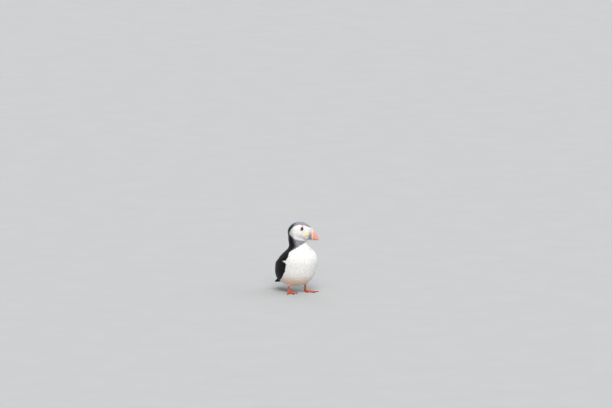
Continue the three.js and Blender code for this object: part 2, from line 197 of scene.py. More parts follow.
def head_reach(local):
    """Below about 1 on the head, above it on the neck."""
    return np.linalg.norm((local - HEAD_MIDDLE) / HEAD_SIZE, axis=1)


def mouth_at(u):
    share = np.clip((u - MOUTH_FROM) / (MOUTH_TO - MOUTH_FROM), 0, 1)
    return MOUTH_GAPE - MOUTH_DROP * share ** 2


def bill_row(u):
    return bill_curve(np.interp(u, BILL_U, FINE))


def bill_side(u, share, upper, proud=0.0):
    """Half-width and height of a half of the bill, share 0 at the mouth to 1 at its edge."""
    row = bill_row(u)
    power, most = (1.2, 0.62) if upper else (1.6, 0.5)
    narrow = 1 - most * share ** power
    wide = (row[..., 3] + proud) * narrow * (0.12 + 0.88 * np.sqrt(1 - share ** 6))
    inner = mouth_at(u) + (0.12 if upper else -0.12)
    outer = row[..., 1] + proud if upper else row[..., 2] - proud
    return wide, inner + (outer - inner) * share


# ---- mesh making
def add_object(name, data):
    piece = bpy.data.objects.new(name, data)
    bpy.context.scene.collection.objects.link(piece)
    return piece


def read(items, field, width, kind=np.float32):
    """One property of all the items of a mesh, a row for each item."""
    values = np.zeros(len(items) * width, kind)
    items.foreach_get(field, values)
    return values.reshape(-1, width)


def place_verts(mesh, verts):
    mesh.vertices.foreach_set("co", (np.asarray(verts) * MM).astype(np.float32).ravel())


def make_mesh(name, verts, quads, tris=None, tint=None, maps=None, smooth_faces=True):
    """A mesh object from arrays: verts in mm, faces as index arrays, tint per vertex."""
    tris = np.zeros((0, 3), int) if tris is None else tris
    loops = np.concatenate([quads.ravel(), tris.ravel()]).astype(np.int32)
    totals = np.concatenate([np.full(len(quads), 4), np.full(len(tris), 3)])
    mesh = bpy.data.meshes.new(name)
    mesh.vertices.add(len(verts))
    place_verts(mesh, verts)
    mesh.loops.add(len(loops))
    mesh.loops.foreach_set("vertex_index", loops)
    mesh.polygons.add(len(totals))
    starts = np.concatenate([[0], np.cumsum(totals)[:-1]]).astype(np.int32)
    mesh.polygons.foreach_set("loop_start", starts)
    mesh.update(calc_edges=True)
    mesh.polygons.foreach_set("use_smooth", np.broadcast_to(smooth_faces, len(totals)).copy())
    for label, uv in (maps or {}).items():
        layer = mesh.uv_layers.new(name=label)
        layer.data.foreach_set("uv", uv[loops].astype(np.float32).ravel())
    if tint is not None:
        layer = mesh.attributes.new("tint", "FLOAT_COLOR", "POINT")
        rgba = np.ones((len(verts), 4), np.float32)
        rgba[:, :3] = tint
        layer.data.foreach_set("color", rgba.ravel())
    mesh.validate()
    mesh.update()
    return add_object(name, mesh)


def mesh_arrays(mesh):
    """Places in mm, vertex normals and triangles."""
    mesh.calc_loop_triangles()
    return (read(mesh.vertices, "co", 3).astype(float) / MM,
            read(mesh.vertex_normals, "vector", 3).astype(float),
            read(mesh.loop_triangles, "vertices", 3, np.int32))


def mesh_of(piece):
    """The mesh of an object that is only an ingredient of another."""
    mesh = piece.data
    bpy.data.objects.remove(piece)
    return mesh


def applied(piece):
    """A new mesh with the object's modifiers applied."""
    graph = bpy.context.evaluated_depsgraph_get()
    return bpy.data.meshes.new_from_object(piece.evaluated_get(graph))


def remeshed(name, parts, voxel, rounds, swell=0.0):
    """One closed surface over several meshes, each first swollen by a distance in mm."""
    bm = bmesh.new()
    for mesh in parts:
        one = bmesh.new()
        one.from_mesh(mesh)
        bmesh.ops.remove_doubles(one, verts=one.verts, dist=2e-6)
        bmesh.ops.recalc_face_normals(one, faces=one.faces)
        one.normal_update()
        for v in one.verts:
            v.co += v.normal * swell * MM
        scratch = bpy.data.meshes.new("scratch")
        one.to_mesh(scratch)
        one.free()
        bm.from_mesh(scratch)
        bpy.data.meshes.remove(scratch)
    mesh = bpy.data.meshes.new(name)
    bm.to_mesh(mesh)
    bm.free()
    piece = add_object(name, mesh)
    remesh = piece.modifiers.new("remesh", "REMESH")
    remesh.mode, remesh.voxel_size = "VOXEL", voxel * MM
    soften = piece.modifiers.new("soften", "SMOOTH")
    soften.factor, soften.iterations = 0.5, rounds
    made = applied(piece)
    bpy.data.meshes.remove(mesh_of(piece))
    return made


def grid_faces(rows, columns):
    """Quads of a grid of points that is `columns` wide."""
    k, j = np.meshgrid(np.arange(rows - 1), np.arange(columns - 1), indexing="ij")
    a = (k * columns + j).ravel()
    return np.stack([a, a + 1, a + columns + 1, a + columns], -1)


def loft(name, rings, tint=None):
    """A closed solid over rings (R, A, 3), with a hub point in each end."""
    count, around = rings.shape[:2]

    def with_hubs(values):
        ends = [values[0].mean(0)[None], values[-1].mean(0)[None]]
        return np.concatenate([values.reshape(-1, 3)] + ends)

    r, a = np.meshgrid(np.arange(count - 1), np.arange(around), indexing="ij")
    b = (a + 1) % around
    quads = np.stack([r * around + a, r * around + b, (r + 1) * around + b,
                      (r + 1) * around + a], -1).reshape(-1, 4)
    hub, last, a, b = count * around, (count - 1) * around, a[0], b[0]
    tris = np.concatenate([np.stack([np.full(around, hub), b, a], -1),
                           np.stack([np.full(around, hub + 1), last + a, last + b], -1)])
    tint = None if tint is None else with_hubs(tint)
    piece = make_mesh(name, with_hubs(rings), quads, tris, tint)
    bm = bmesh.new()
    bm.from_mesh(piece.data)
    bmesh.ops.recalc_face_normals(bm, faces=bm.faces)
    bm.to_mesh(piece.data)
    bm.free()
    return piece


def tube(path, side_way, up_way, half_side, half_up, around=14):
    """Rings with oval sections along a path."""
    side_way, up_way = (np.broadcast_to(way, path.shape)[:, None] for way in (side_way, up_way))
    turn = circle(around)
    return (path[:, None] + side_way * (half_side[:, None] * np.cos(turn))[..., None]
            + up_way * (half_up[:, None] * np.sin(turn))[..., None])


def join(name, pieces):
    """Several objects as one, keeping their materials."""
    keep = pieces[0]
    with bpy.context.temp_override(active_object=keep, object=keep, selected_objects=pieces,
                                   selected_editable_objects=pieces):
        bpy.ops.object.join()
    keep.name = keep.data.name = name
    return keep


def finish_piece(piece, material, slot, *replaced):
    """Gives a piece its material and its body, and hides the solids that it stands for; slot is
    not used.
    """
    if material:
        piece.data.materials.append(material)
    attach(piece, "root")
    if replaced:
        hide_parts(*replaced)


# ---- materials
class Nodes:
    """A short way to write a procedural material."""

    def __init__(self, name):
        self.material = bpy.data.materials.new(name)
        self.material.use_nodes = True
        self.tree = self.material.node_tree
        self.tree.nodes.clear()
        self.shader = self.add("ShaderNodeBsdfPrincipled")
        self.add("ShaderNodeOutputMaterial", {0: self.shader.outputs[0]})

    def feed(self, socket, value):
        if hasattr(value, "is_output"):
            self.tree.links.new(value, socket)
        else:
            socket.default_value = value

    def add(self, kind, sockets=None, **values):
        """A new node; sockets gives its inputs, by number or name, as values or outputs."""
        node = self.tree.nodes.new(kind)
        for key, value in values.items():
            setattr(node, key, value)
        for key, value in (sockets or {}).items():
            self.feed(node.inputs[key], value)
        return node

    def set(self, **values):
        """Feeds the shader's inputs, and gives the finished material."""
        for key, value in values.items():
            self.feed(self.shader.inputs[key.replace("_", " ")], value)
        return self.material

    def math(self, operation, a, b=0.0):
        return self.add("ShaderNodeMath", {0: a, 1: b}, operation=operation).outputs[0]

    def mix(self, factor, a, b, blend="MIX"):
        return self.add("ShaderNodeMix", {0: factor, 6: a, 7: b}, data_type="RGBA",
                        blend_type=blend).outputs[2]

    def span(self, value, low, high, to_low=0.0, to_high=1.0):
        sockets = dict(enumerate((value, low, high, to_low, to_high)))
        return self.add("ShaderNodeMapRange", sockets, clamp=True).outputs[0]

    def position(self):
        return self.add("ShaderNodeNewGeometry").outputs["Position"]

    def noise(self, scale, detail=3.0, stretch=None):
        place = self.position()
        if stretch:
            place = self.add("ShaderNodeMapping", {"Scale": stretch, "Vector": place}).outputs[0]
        return self.add("ShaderNodeTexNoise", {"Scale": scale, "Detail": detail,
                                               "Roughness": 0.55, "Vector": place}).outputs["Fac"]

    def cells(self, scale):
        sockets = {"Scale": scale, "Vector": self.position()}
        return self.add("ShaderNodeTexVoronoi", sockets).outputs["Distance"]

    def map(self, name):
        places = self.add("ShaderNodeUVMap", uv_map=name).outputs[0]
        return self.add("ShaderNodeSeparateXYZ", {0: places}).outputs[:2]

    def tinted(self, shade):
        """The vertex tint, times a grey shade."""
        grey = self.add("ShaderNodeCombineColor", {0: shade, 1: shade, 2: shade}).outputs[0]
        tint = self.add("ShaderNodeAttribute", attribute_name="tint").outputs["Color"]
        return self.mix(1.0, tint, grey, "MULTIPLY")

    def bump(self, height, strength, distance):
        return self.add("ShaderNodeBump", {"Strength": strength, "Distance": distance * MM,
                                           "Height": height}).outputs[0]


def feather_material(name, rough, sheen, specular):
    """Vane colour with fine barbs that slant away from the shaft."""
    n = Nodes(name)
    across, along = n.map("vane")
    slant = n.math("SUBTRACT", along, n.math("MULTIPLY", n.math("ABSOLUTE", across), 0.30))
    wobble = n.math("MULTIPLY", n.noise(420, 2.0), 0.05)
    barbs = n.math("SINE", n.math("MULTIPLY", n.math("ADD", slant, wobble), 150.0))
    barbs = n.span(barbs, -1.0, 1.0)
    patches = n.span(n.noise(160, 4.0), 0.3, 0.7)
    shade = n.math("ADD", n.math("MULTIPLY", barbs, 0.16), n.math("MULTIPLY", patches, 0.16))
    return n.set(Base_Color=n.tinted(n.math("ADD", shade, 0.78)),
                 Roughness=n.span(patches, 0.0, 1.0, rough - 0.06, rough + 0.08),
                 Sheen_Weight=sheen, Sheen_Roughness=0.5, Specular_IOR_Level=specular,
                 Normal=n.bump(barbs, 0.5, 0.05))


def skin_material():
    n = Nodes("skin_down")
    return n.set(Base_Color=n.tinted(n.span(n.noise(300, 5.0), 0.3, 0.7, 0.84, 1.0)),
                 Roughness=0.9, Specular_IOR_Level=0.15,
                 Normal=n.bump(n.noise(1400, 4.0), 0.6, 0.3))


def horn_material(name, rough, coat, grain, bump):
    n = Nodes(name)
    wear = n.noise(900, 3.0, stretch=(1.0, 1.0, 0.25))
    fibres = n.noise(grain, 4.0, stretch=(1.0, 1.0, 0.35))
    return n.set(Base_Color=n.tinted(n.span(n.noise(180, 5.0), 0.3, 0.7, 0.84, 1.06)),
                 Roughness=n.span(wear, 0.3, 0.7, rough - 0.07, rough + 0.10), Coat_Weight=coat,
                 Coat_Roughness=0.25, Specular_IOR_Level=0.45, Normal=n.bump(fibres, bump, 0.12))


def cere_material():
    n = Nodes("cere_skin")
    pores = n.span(n.cells(1500), 0.0, 0.5)
    return n.set(Base_Color=n.tinted(n.math("ADD", n.math("MULTIPLY", pores, 0.10), 0.90)),
                 Roughness=n.span(n.noise(500), 0.3, 0.7, 0.45, 0.6), Specular_IOR_Level=0.35,
                 Normal=n.bump(pores, 0.25, 0.08))


def eye_material():
    n = Nodes("eye_wet")
    return n.set(Base_Color=n.tinted(n.span(n.noise(1600, 4.0), 0.3, 0.7, 0.7, 1.3)),
                 Roughness=0.05, Specular_IOR_Level=0.5)


def leg_material():
    """Scutes in rows along shin and toes, and small scales between them."""
    n = Nodes("leg_scales")
    along, mask = n.map("scute")
    step = n.math("FRACT", n.math("DIVIDE", along, 1.55))
    groove = n.span(n.math("ABSOLUTE", n.math("SUBTRACT", step, 0.5)), 0.34, 0.5)
    groove = n.math("MULTIPLY", groove, mask)
    small = n.math("MULTIPLY", n.span(n.cells(1150), 0.15, 0.6),
                   n.math("SUBTRACT", 1.0, n.math("MULTIPLY", mask, 0.75)))
    shade = n.math("SUBTRACT", 1.02, n.math("MULTIPLY", groove, 0.32))
    shade = n.math("SUBTRACT", shade, n.math("MULTIPLY", small, 0.30))
    height = n.math("SUBTRACT", 1.0, n.math("ADD", groove, n.math("MULTIPLY", small, 0.6)))
    return n.set(Base_Color=n.tinted(shade), Roughness=n.span(n.noise(700), 0.3, 0.7, 0.38, 0.55),
                 Specular_IOR_Level=0.45, Normal=n.bump(height, 0.8, 0.16))


white_vane = feather_material("white_vane", rough=0.72, sheen=0.15, specular=0.25)
dark_vane = feather_material("dark_vane", rough=0.50, sheen=0.02, specular=0.13)


# ---- markings
WHITE = np.array([0.83, 0.82, 0.80])
WARM_BOUNCE_AND_STAIN = np.array([0.85, 0.62, 0.44])
BLACK = np.array([0.0052, 0.0050, 0.0058])
SLATE_AND_SUNLIT = np.array([0.262, 0.252, 0.288])
CROWN_GREY_AND_SUNLIT = np.array([0.345, 0.332, 0.395])
CHEEK_GREY_AND_SHADE = np.array([0.37, 0.375, 0.395])
SOCKET = np.array([0.10, 0.03, 0.02])
# The pale face seen from the side: along the head and up it.
FACE = np.array([
    [24.5, 8.3], [21, 9.4], [13.7, 11.2], [6.5, 12.4], [-4.5, 11.6], [-15.6, 7.6],
    [-20.8, 1.9], [-23.8, -2.9], [-26.6, -9.1], [-28.2, -15.3], [-25.6, -18.2],
    [-18.4, -22.0], [-11.1, -25.2], [-2.1, -27.2], [6.5, -28.0], [15.3, -28.6], [26, -29],
    [30, -12],
])
# White breast against dark back: height, and angle round the body from the breast.
EDGE_Z = [20, 26, 28.5, 33, 43, 54, 65, 78, 90, 94, 99, 105, 110, 116, 122, 129, 133, 137, 140]
EDGE_ANGLE = [180, 150, 124, 101, 83, 72.5, 67, 66, 68, 71, 70, 70, 72, 77.5, 81, 71, 57, 33, 0]
TAIL_BACK = [-row[0] for row in TAIL]
TAIL_MIDDLE = [min(row[1], 40) for row in TAIL]
THROAT_TURN = 34.0  # the throat faces where the head does


def back_of(points):
    """How far behind the bird's own axis places lie."""
    return points[:, 1] - SHIFT_Y


def tail_height(points):
    return np.interp(back_of(points), TAIL_BACK, TAIL_MIDDLE)


def polygon_distance(points, outline):
    """Signed distance to an outline: positive inside."""
    best = np.full(len(points), 1e9)
    inside = np.zeros(len(points), bool)
    for p, q in zip(outline, np.roll(outline, -1, axis=0)):
        edge = q - p
        t = np.clip(((points - p) @ edge) / (edge @ edge), 0, 1)
        best = np.minimum(best, np.linalg.norm(points - p - t[:, None] * edge, axis=1))
        crosses = (p[1] > points[:, 1]) != (q[1] > points[:, 1])
        with np.errstate(divide="ignore", invalid="ignore"):
            at = p[0] + (points[:, 1] - p[1]) * (q[0] - p[0]) / (q[1] - p[1])
        inside ^= crosses & (points[:, 0] < at)
    return np.where(inside, best, -best)


def wander(points, scale, seed):
    """Smooth noise from a few sine waves, -1..1."""
    random = np.random.default_rng(seed)
    total = np.zeros(len(points))
    for _ in range(5):
        wave = random.normal(size=3)
        wave *= 2 * math.pi / (scale * (0.7 + 0.8 * random.random()) * np.linalg.norm(wave))
        total += np.sin(points @ wave + random.random() * 6.28)
    return total / 3.2


def wing_share(points):
    """1 where a place is on the wing, from its angle and height on the body."""
    angle = body_angle(points)
    low = np.interp(angle, WING_ROWS[:, 0], WING_ROWS[:, 1], left=999, right=999)
    high = np.interp(angle, WING_ROWS[:, 0], WING_ROWS[:, 2], left=-999, right=-999)
    return smooth(points[:, 2] - low, 0, 3) * smooth(high - points[:, 2], 0, 3)


def marking(points):
    """Plumage colour at places, with painted sunlight on the collar and crown, painted shade on
    the cheek and painted warm light on the belly, and how dark the region is, 0 white to 1 dark.
    """
    local = head_local(points)
    u, w, z = local[:, 0], local[:, 2], points[:, 2]
    angle = body_angle(points, THROAT_TURN * smooth(z, 114, 137))
    ragged = wander(points, 9.0, 3)
    # Trunk: white below, dark above, and dark under the wing's lower edge.
    back = back_of(points)
    under_tail = ((angle > 120) & (z < tail_height(points) - 1.5)
                  & (np.abs(points[:, 0]) < np.interp(back, [56, 63, 70], [30, 8, 0])))
    dark = smooth(angle - np.interp(z, EDGE_Z, EDGE_ANGLE) + ragged * 1.3, -1.2, 1.2)
    dark = np.where(z > 141 + ragged * 0.5, 1.0, dark)
    dark = np.where(under_tail, 0.0, np.maximum(dark, smooth(back, 58, 62)))
    dark = np.maximum(dark, smooth(wing_share(points), 0.35, 0.65) * smooth(z, 64, 60))
    # The lower belly turns warm towards the feet: painted warm light from below, partly a soil
    # stain.
    white = mix(WHITE, WARM_BOUNCE_AND_STAIN, smooth(z, 58, 27)[:, None] * 0.88)
    # The collar's front and side turn slate grey: partly the collar's own colour, partly painted
    # sunlight on the side that faces the light.
    sunny = smooth(angle, 96, 62) * smooth(z, 114, 128)
    coat_dark = BLACK + (SLATE_AND_SUNLIT - BLACK) * sunny[:, None]
    colour = mix(white, coat_dark, dark[:, None])
    # Head: pale face, grey crown that turns black behind. The crown's grey, lightest on top and
    # towards the front, is partly its own colour and partly painted sunlight.
    on_head = smooth(head_reach(local), 1.12, 1.0)
    face = smooth(polygon_distance(local[:, [0, 2]], FACE) + ragged * 0.45, -0.6, 0.6)
    front = 1 - smooth(u, -9, -25)
    crown = BLACK + (CROWN_GREY_AND_SUNLIT - BLACK) * front[:, None] * smooth(w, -12, 6)[:, None]
    # The face greys towards its lower and rear edges: partly the cheek's own greyer patch, partly
    # painted shade.
    shade = np.clip(smooth(w, -10, -26) * 0.55 + smooth(u, -10, -27) * 0.65, 0, 0.8)
    pale = mix(WHITE, CHEEK_GREY_AND_SHADE, shade[:, None])
    head = mix(np.maximum(crown, coat_dark), pale, face[:, None])
    return mix(colour, head, on_head[:, None]), mix(dark, 1 - face, on_head)


# ---- the coat's outer form
FLESH = ["head", "neck", "trunk", "back", "tail", "wing_left", "wing_right"]
BILL_AND_EYES = ["bill_upper", "bill_lower", "bill_base_ridge", "eye_left", "eye_right"]
FORM_VOXEL, FORM_SWELL = 1.13, 0.22


def thigh(side):
    """The feathered top of a leg."""
    z = np.array([38, 33, 28, 24.5, 21.5, 19.2, 17.8, 17.2])
    radius = np.array([6.0, 9.5, 9.3, 7.6, 5.8, 4.5, 3.4, 1.5])
    turn = circle(20)
    middle = np.stack([0 * z + side * THIGH_APART, 0 * z + SHIFT_Y + THIGH_BACK, z], -1)
    around = np.stack([np.cos(turn), 1.25 * np.sin(turn), 0 * turn], -1)
    return mesh_of(loft("thigh", middle[:, None] + radius[:, None, None] * around[None]))


form_parts = [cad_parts[name].data for name in FLESH + BILL_AND_EYES]
form = remeshed("form", form_parts + [thigh(1), thigh(-1)], FORM_VOXEL, 7, FORM_SWELL)


def above_wing(points):
    """Height above the wing's upper edge, in mm."""
    return points[:, 2] - np.interp(body_angle(points), WING_ROWS[:, 0], WING_ROWS[:, 2])


def nape_weight(verts):
    z = verts[:, 2]
    return smooth(z, 128, 138) * smooth(z, 176, 160) * smooth(head_local(verts)[:, 0], 4, -12)


def shoulder_weight(verts):
    over, angle = above_wing(verts), body_angle(verts)
    near = smooth(over, -11, -4) * smooth(over, 14, 7)
    return near * smooth(angle, 76, 86) * smooth(angle, 166, 154)


def ease(mesh, weigh, rounds):
    """Melts a step in a surface where the weight is above 0."""
    verts = mesh_arrays(mesh)[0]
    a, b = read(mesh.edges, "vertices", 2, np.int32).T
    weight = (0.5 * weigh(verts))[:, None]

    def gather(values_a=None, values_b=None):
        return np.bincount(a, values_b, len(verts)) + np.bincount(b, values_a, len(verts))

    degree = gather()
    for _ in range(rounds):
        total = np.stack([gather(verts[a, i], verts[b, i]) for i in range(3)], -1)
        verts = verts * (1 - weight) + total / degree[:, None] * weight
    place_verts(mesh, verts)
    mesh.update()


ease(form, nape_weight, rounds=90)
ease(form, shoulder_weight, rounds=70)
form_verts, form_normals, form_tris = mesh_arrays(form)
form_quads = read(form.loops, "vertex_index", 1, np.int32).reshape(-1, 4)
form_tree = BVHTree.FromPolygons(form_verts.tolist(), form_tris.tolist())


def nearest(tree, points):
    """Nearest places on a surface, and the triangles that they lie on."""
    found = [tree.find_nearest(p) for p in points.tolist()]
    places = np.array([tuple(hit[0]) for hit in found]).reshape(-1, 3)
    return places, np.array([hit[2] for hit in found], int)


def onto(points):
    """Nearest place on the coat's outer form, and the smooth normal there."""
    places, faces = nearest(form_tree, points.reshape(-1, 3))
    normals = unit(form_normals[form_tris[faces]].mean(1))
    return places.reshape(points.shape), normals.reshape(points.shape)


def eye_spot(name):
    """Middle of an eyeball in head coordinates."""
    low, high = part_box(name)
    return head_local((np.array(low) + np.array(high)) / 2 / MM)


EYE_SPOTS = {side: eye_spot("eye_" + label) for label, side in SIDES}
DOWN = np.array([0, 0, -1.0])
FLOW_BLEND = 420.0  # square of the distance over which the coat turns from one way to the next
# The coat flows from the bill over the head, down the neck and trunk, and out along the tail.
SPINE = np.array([
    *(head_world(np.array(local)) for local in ([30.0, 0, -9], [12.0, 0, -7], [-8.0, 0, -8])),
    *([x, SHIFT_Y + back, z] for x, back, z in (
        (-6, 7, 158), (-1, 4, 146), (0, -5, 132), (0, -13, 116), (0, -10, 98), (0, -4, 82),
        (0, 6, 68), (0, 22, 58), (0, 42, 50), (0, 60, 41), (0, 96, 16))),
])


def flow(points, normals):
    """Direction of the lie of the coat on the surface."""
    gap = ((points[:, None] - ((SPINE[1:] + SPINE[:-1]) / 2)[None]) ** 2).sum(-1)
    gap -= gap.min(1, keepdims=True)
    weight = np.exp(-gap / FLOW_BLEND)
    way = unit((weight[:, :, None] * unit(SPINE[1:] - SPINE[:-1])[None]).sum(1))
    leg = np.hypot(np.abs(points[:, 0]) - THIGH_APART, points[:, 1] - SHIFT_Y - THIGH_BACK)
    down = (smooth(leg, 12, 6) * smooth(points[:, 2], 29, 22))[:, None]
    return level(mix(way, DOWN, down), normals)


def eye_gap(local):
    """Distance to the nearer eye, in mm."""
    return np.min([np.linalg.norm(local - spot, axis=1) for spot in EYE_SPOTS.values()], axis=0)


def into_bill(local, ahead, beside):
    """How far a place is past the bill's base, on places that are close to its sides."""
    u, v, w = local[:, 0], np.abs(local[:, 1]), local[:, 2]
    along = np.clip(u, 13, 52)
    row, mouth = bill_row(along), mouth_at(along)
    chin = (w < -24) & (v < 4.5)
    base = (BASE_ALONG + w * BASE_LEAN, np.where(chin, LOWER_BASE + 5.5, LOWER_BASE - 0.4))
    reach = []
    for half in (0, 1):
        edge = row[:, 1 + half]
        share = np.clip((w - mouth) / (edge - mouth), 0, 1)
        off = np.maximum(v - bill_side(along, share, half == 0)[0], (w - edge) * (1 - 2 * half))
        reach.append(np.minimum(u - base[half] - ahead[half], beside[half] - off))
    return np.maximum(np.where(w > -14, reach[0], -9), np.minimum(reach[1], -13.5 - w))


def bare(local):
    """How far a place is inside the bill, rosette or eye region: above 0 is bare."""
    u, v, w = local[:, 0], np.abs(local[:, 1]), local[:, 2]
    near = (((u - ROSETTE[0]) / (ROSETTE[2] - 1.5)) ** 2
            + ((w - ROSETTE[1]) / (ROSETTE[4] - 1.3)) ** 2)
    rosette = np.where(v > 5, (1 - np.sqrt(near)) * 4, -9)
    eye = EYE_BARE - eye_gap(local)
    return np.max([into_bill(local, (0.8, 0.0), (1.2, 0.5)), rosette, eye], axis=0)


def coat_depth(points):
    """How deep the skin lies under the coat's surface."""
    local = head_local(points)
    face_depth = 0.36 + 0.30 * smooth(local[:, 0], 20, -14)
    depth = mix(0.90, face_depth, smooth(head_reach(local), 1.15, 1.0))
    depth *= 1 - 0.7 * smooth(bare(local), -4.0, 0.0)
    depth *= 1 - 0.45 * wing_share(points)
    return mix(depth, 0.75, smooth(back_of(points), 50, 66) * smooth(points[:, 2], 62, 50))


# ---- skin
SKIN_GAP, SOCKET_DEPTH, SKIN_SHADE = 0.05, 1.5, 0.92
local = head_local(form_verts)
socket = smooth(eye_gap(local), EYE_BARE, EYE_BARE - 0.4)
drawn = smooth(into_bill(local, (-0.5, 0.3), (1.0, 0.9)), 0.0, 0.6)[:, None]
tint = mix(marking(form_verts)[0], SOCKET, socket[:, None])
skin_depth = coat_depth(form_verts) + SKIN_GAP + SOCKET_DEPTH * socket
# At the bill the skin draws back to a stub inside the horn.
local = head_local(form_verts - form_normals * skin_depth[:, None])
stub = np.stack([np.minimum(local[:, 0], 24 + 0.06 * (local[:, 0] - 24)), local[:, 1] * 0.55,
                 -10 + (local[:, 2] + 10) * 0.7], -1)
skin = make_mesh("skin", head_world(mix(local, stub, drawn)), form_quads, None,
                 tint * SKIN_SHADE)
skin.data.materials.append(skin_material())


# ---- where each feather's colour is baked
def unwrap_form():
    """An unwrap of the coat's form: corners of its triangles, their places on it, and a tree."""
    piece = make_mesh("unwrap", form_verts, form_quads)
    piece.modifiers.new("thin", "DECIMATE").ratio = 0.16
    mesh = applied(piece)
    piece.modifiers.clear()
    piece.data = mesh
    bpy.context.view_layer.objects.active = piece
    piece.select_set(True)
    bpy.ops.object.mode_set(mode="EDIT")
    bpy.ops.mesh.select_all(action="SELECT")
    bpy.ops.uv.smart_project(angle_limit=math.radians(72), island_margin=0.012)
    bpy.ops.object.mode_set(mode="OBJECT")
    verts, _, tris = mesh_arrays(mesh)
    loops = read(mesh.loop_triangles, "loops", 3, np.int32)
    places = read(mesh.uv_layers.active.data, "uv", 2)[loops]
    bpy.data.objects.remove(piece)
    return verts[tris], places, BVHTree.FromPolygons(verts.tolist(), tris.tolist())


unwrap_corners, unwrap_uv, unwrap_tree = unwrap_form()


def root_places(roots):
    """Where roots lie on the unwrap."""
    places, faces = nearest(unwrap_tree, roots)
    a, b, c = unwrap_corners[faces].transpose(1, 0, 2)
    v0, v1, v2 = b - a, c - a, places - a
    pairs = ((v0, v0), (v0, v1), (v1, v1), (v2, v0), (v2, v1))
    d00, d01, d11, d20, d21 = ((p * q).sum(1) for p, q in pairs)
    scale = np.maximum(d00 * d11 - d01 * d01, 1e-12)
    s, t = (d11 * d20 - d01 * d21) / scale, (d00 * d21 - d01 * d20) / scale
    weights = np.stack([1 - s - t, s, t], -1)[..., None]
    return np.clip((weights * unwrap_uv[faces]).sum(1), 0.003, 0.997)


# ---- vanes
PATCH = 0.003  # size of a small feather's patch in the bake map


def vane_faces(rows, columns):
    """Faces of one closed vane: a grid above and a keel of points below."""
    quads = grid_faces(rows, columns).tolist()
    keel = rows * columns
    for k in range(rows - 2):
        left, right = k * columns, k * columns + columns - 1
        quads.append([left, left + columns, keel + k + 1, keel + k])
        quads.append([keel + k, keel + k + 1, right + columns, right])
    end, tip, left = keel + rows - 2, (rows - 1) * columns, (rows - 2) * columns
    tris = [[j + 1, j, keel] for j in range(columns - 1)] + [[left, tip, end]]
    tris += [[tip + j, tip + j + 1, end] for j in range(columns - 1)]
    tris.append([tip + columns - 1, left + columns - 1, end])
    return np.array(quads), np.array(tris)


def vane_arrays(top, keel, along, paint, patch):
    """Arrays for one mesh of vanes: top points (N, rows, columns, 3), keel (N, rows - 1, 3),
    along 0..1 at each top point; paint(s, across) and patch(vane) give tints and bake places."""
    count, rows, columns = top.shape[:3]
    verts = np.concatenate([top.reshape(count, -1, 3), keel], 1)
    quads, tris = vane_faces(rows, columns)
    shift = (np.arange(count) * verts.shape[1])[:, None, None]
    s = np.concatenate([along.reshape(count, -1), along[:, :-1, columns // 2]], 1)
    across = np.append(np.tile(np.linspace(-1, 1, columns), rows), np.zeros(rows - 1))
    vane = np.stack([np.broadcast_to(across, s.shape), s], -1)
    return {
        "verts": verts.reshape(-1, 3),
        "quads": (quads[None] + shift).reshape(-1, 4),
        "tris": (tris[None] + shift).reshape(-1, 3),
        "top": np.tile(np.arange(len(quads)) < (rows - 1) * (columns - 1), count),
        "tint": paint(s, across).reshape(-1, 3),
        "OFBake": patch(vane).reshape(-1, 2),
        "vane": vane.reshape(-1, 2),
    }


def grow_vanes(p0, p1, p2, n0, n2, width, stops, notch, camber, thick, root, tip, places,
               tip_width):
    """Vanes on arcs p0-p1-p2; notch (N, columns) shortens each column."""
    stops, across = np.asarray(stops)[None, :, None], np.linspace(-1, 1, notch.shape[1])
    s = stops * (1 - notch[:, None, :] * stops ** 2)
    t = s[..., None]
    a, b, c = (x[:, None, None, :] for x in (p0, 2 * p1 - (p0 + p2) / 2, p2))
    centre = a * (1 - t) ** 2 + 2 * b * t * (1 - t) + c * t ** 2
    way = unit(2 * (b - a) * (1 - t) + 2 * (c - b) * t)
    side = unit(np.cross(way, unit(mix(n0[:, None, None], n2[:, None, None], t))))
    up = np.cross(side, way)
    end = np.clip((s - 0.55) / 0.45, 0, 1) ** 2
    shape = (0.22 + 0.78 * smooth(s, 0.0, 0.42)) * (1 - (1 - tip_width) * end)
    half = width[:, None, None] / 2 * shape
    rise = thick * (1 - 0.6 * s) * (1 - across ** 2) - camber * half * across ** 2
    top = centre + side * (across * half)[..., None] + up * rise[..., None]
    at = np.s_[:, :-1, notch.shape[1] // 2]  # the middle column, where the keel runs
    sink = 2.0 * thick * (1 - 0.6 * s[at]) + camber * half[at] * 0.4
    return vane_arrays(
        top, top[at] - up[at] * sink[..., None], s,
        lambda s, _: mix(root[:, None], tip[:, None], smooth(s, 0.35, 0.95)[..., None]),
        lambda vane: places[:, None] + (vane * [0.5, 1.0] - [0, 0.5]) * PATCH)


def quill_mesh(paths, ups, half, colour, cells, columns=9, thick=0.35, ridge=0.28):
    """Long feathers with a shaft: paths (N, K, 3), half-widths (N, K), cells in the bake map."""
    rows = half.shape[1]
    across = np.linspace(-1, 1, columns)
    way = unit(np.gradient(paths, axis=1))
    side = unit(np.cross(way, ups))
    up = np.cross(side, way)
    half, fade = half[:, :, None], np.linspace(1, 0.35, rows)[:, None]
    rise = np.exp(-(across / 0.10) ** 2) * ridge * fade - 0.08 * half * across ** 2
    top = (paths[:, :, None] + side[:, :, None] * (across * half)[..., None]
           + up[:, :, None] * rise[..., None])

    def paint(s, across):
        tint = mix(colour[:, None], colour[:, None] * 1.6, smooth(s, 0.5, 1.0)[..., None])
        return tint * (1 + 0.5 * np.exp(-(across / 0.12) ** 2))[None, :, None]

    along = np.broadcast_to(np.linspace(0, 1, rows)[:, None], top.shape[:3])
    return vane_arrays(
        top, top[:, :-1, columns // 2] - up[:, :-1] * thick, along, paint,
        lambda vane: cells[:, None] + (vane * [0.45, 0.9] + [0.5, 0.05]) * [0.012, 0.06])


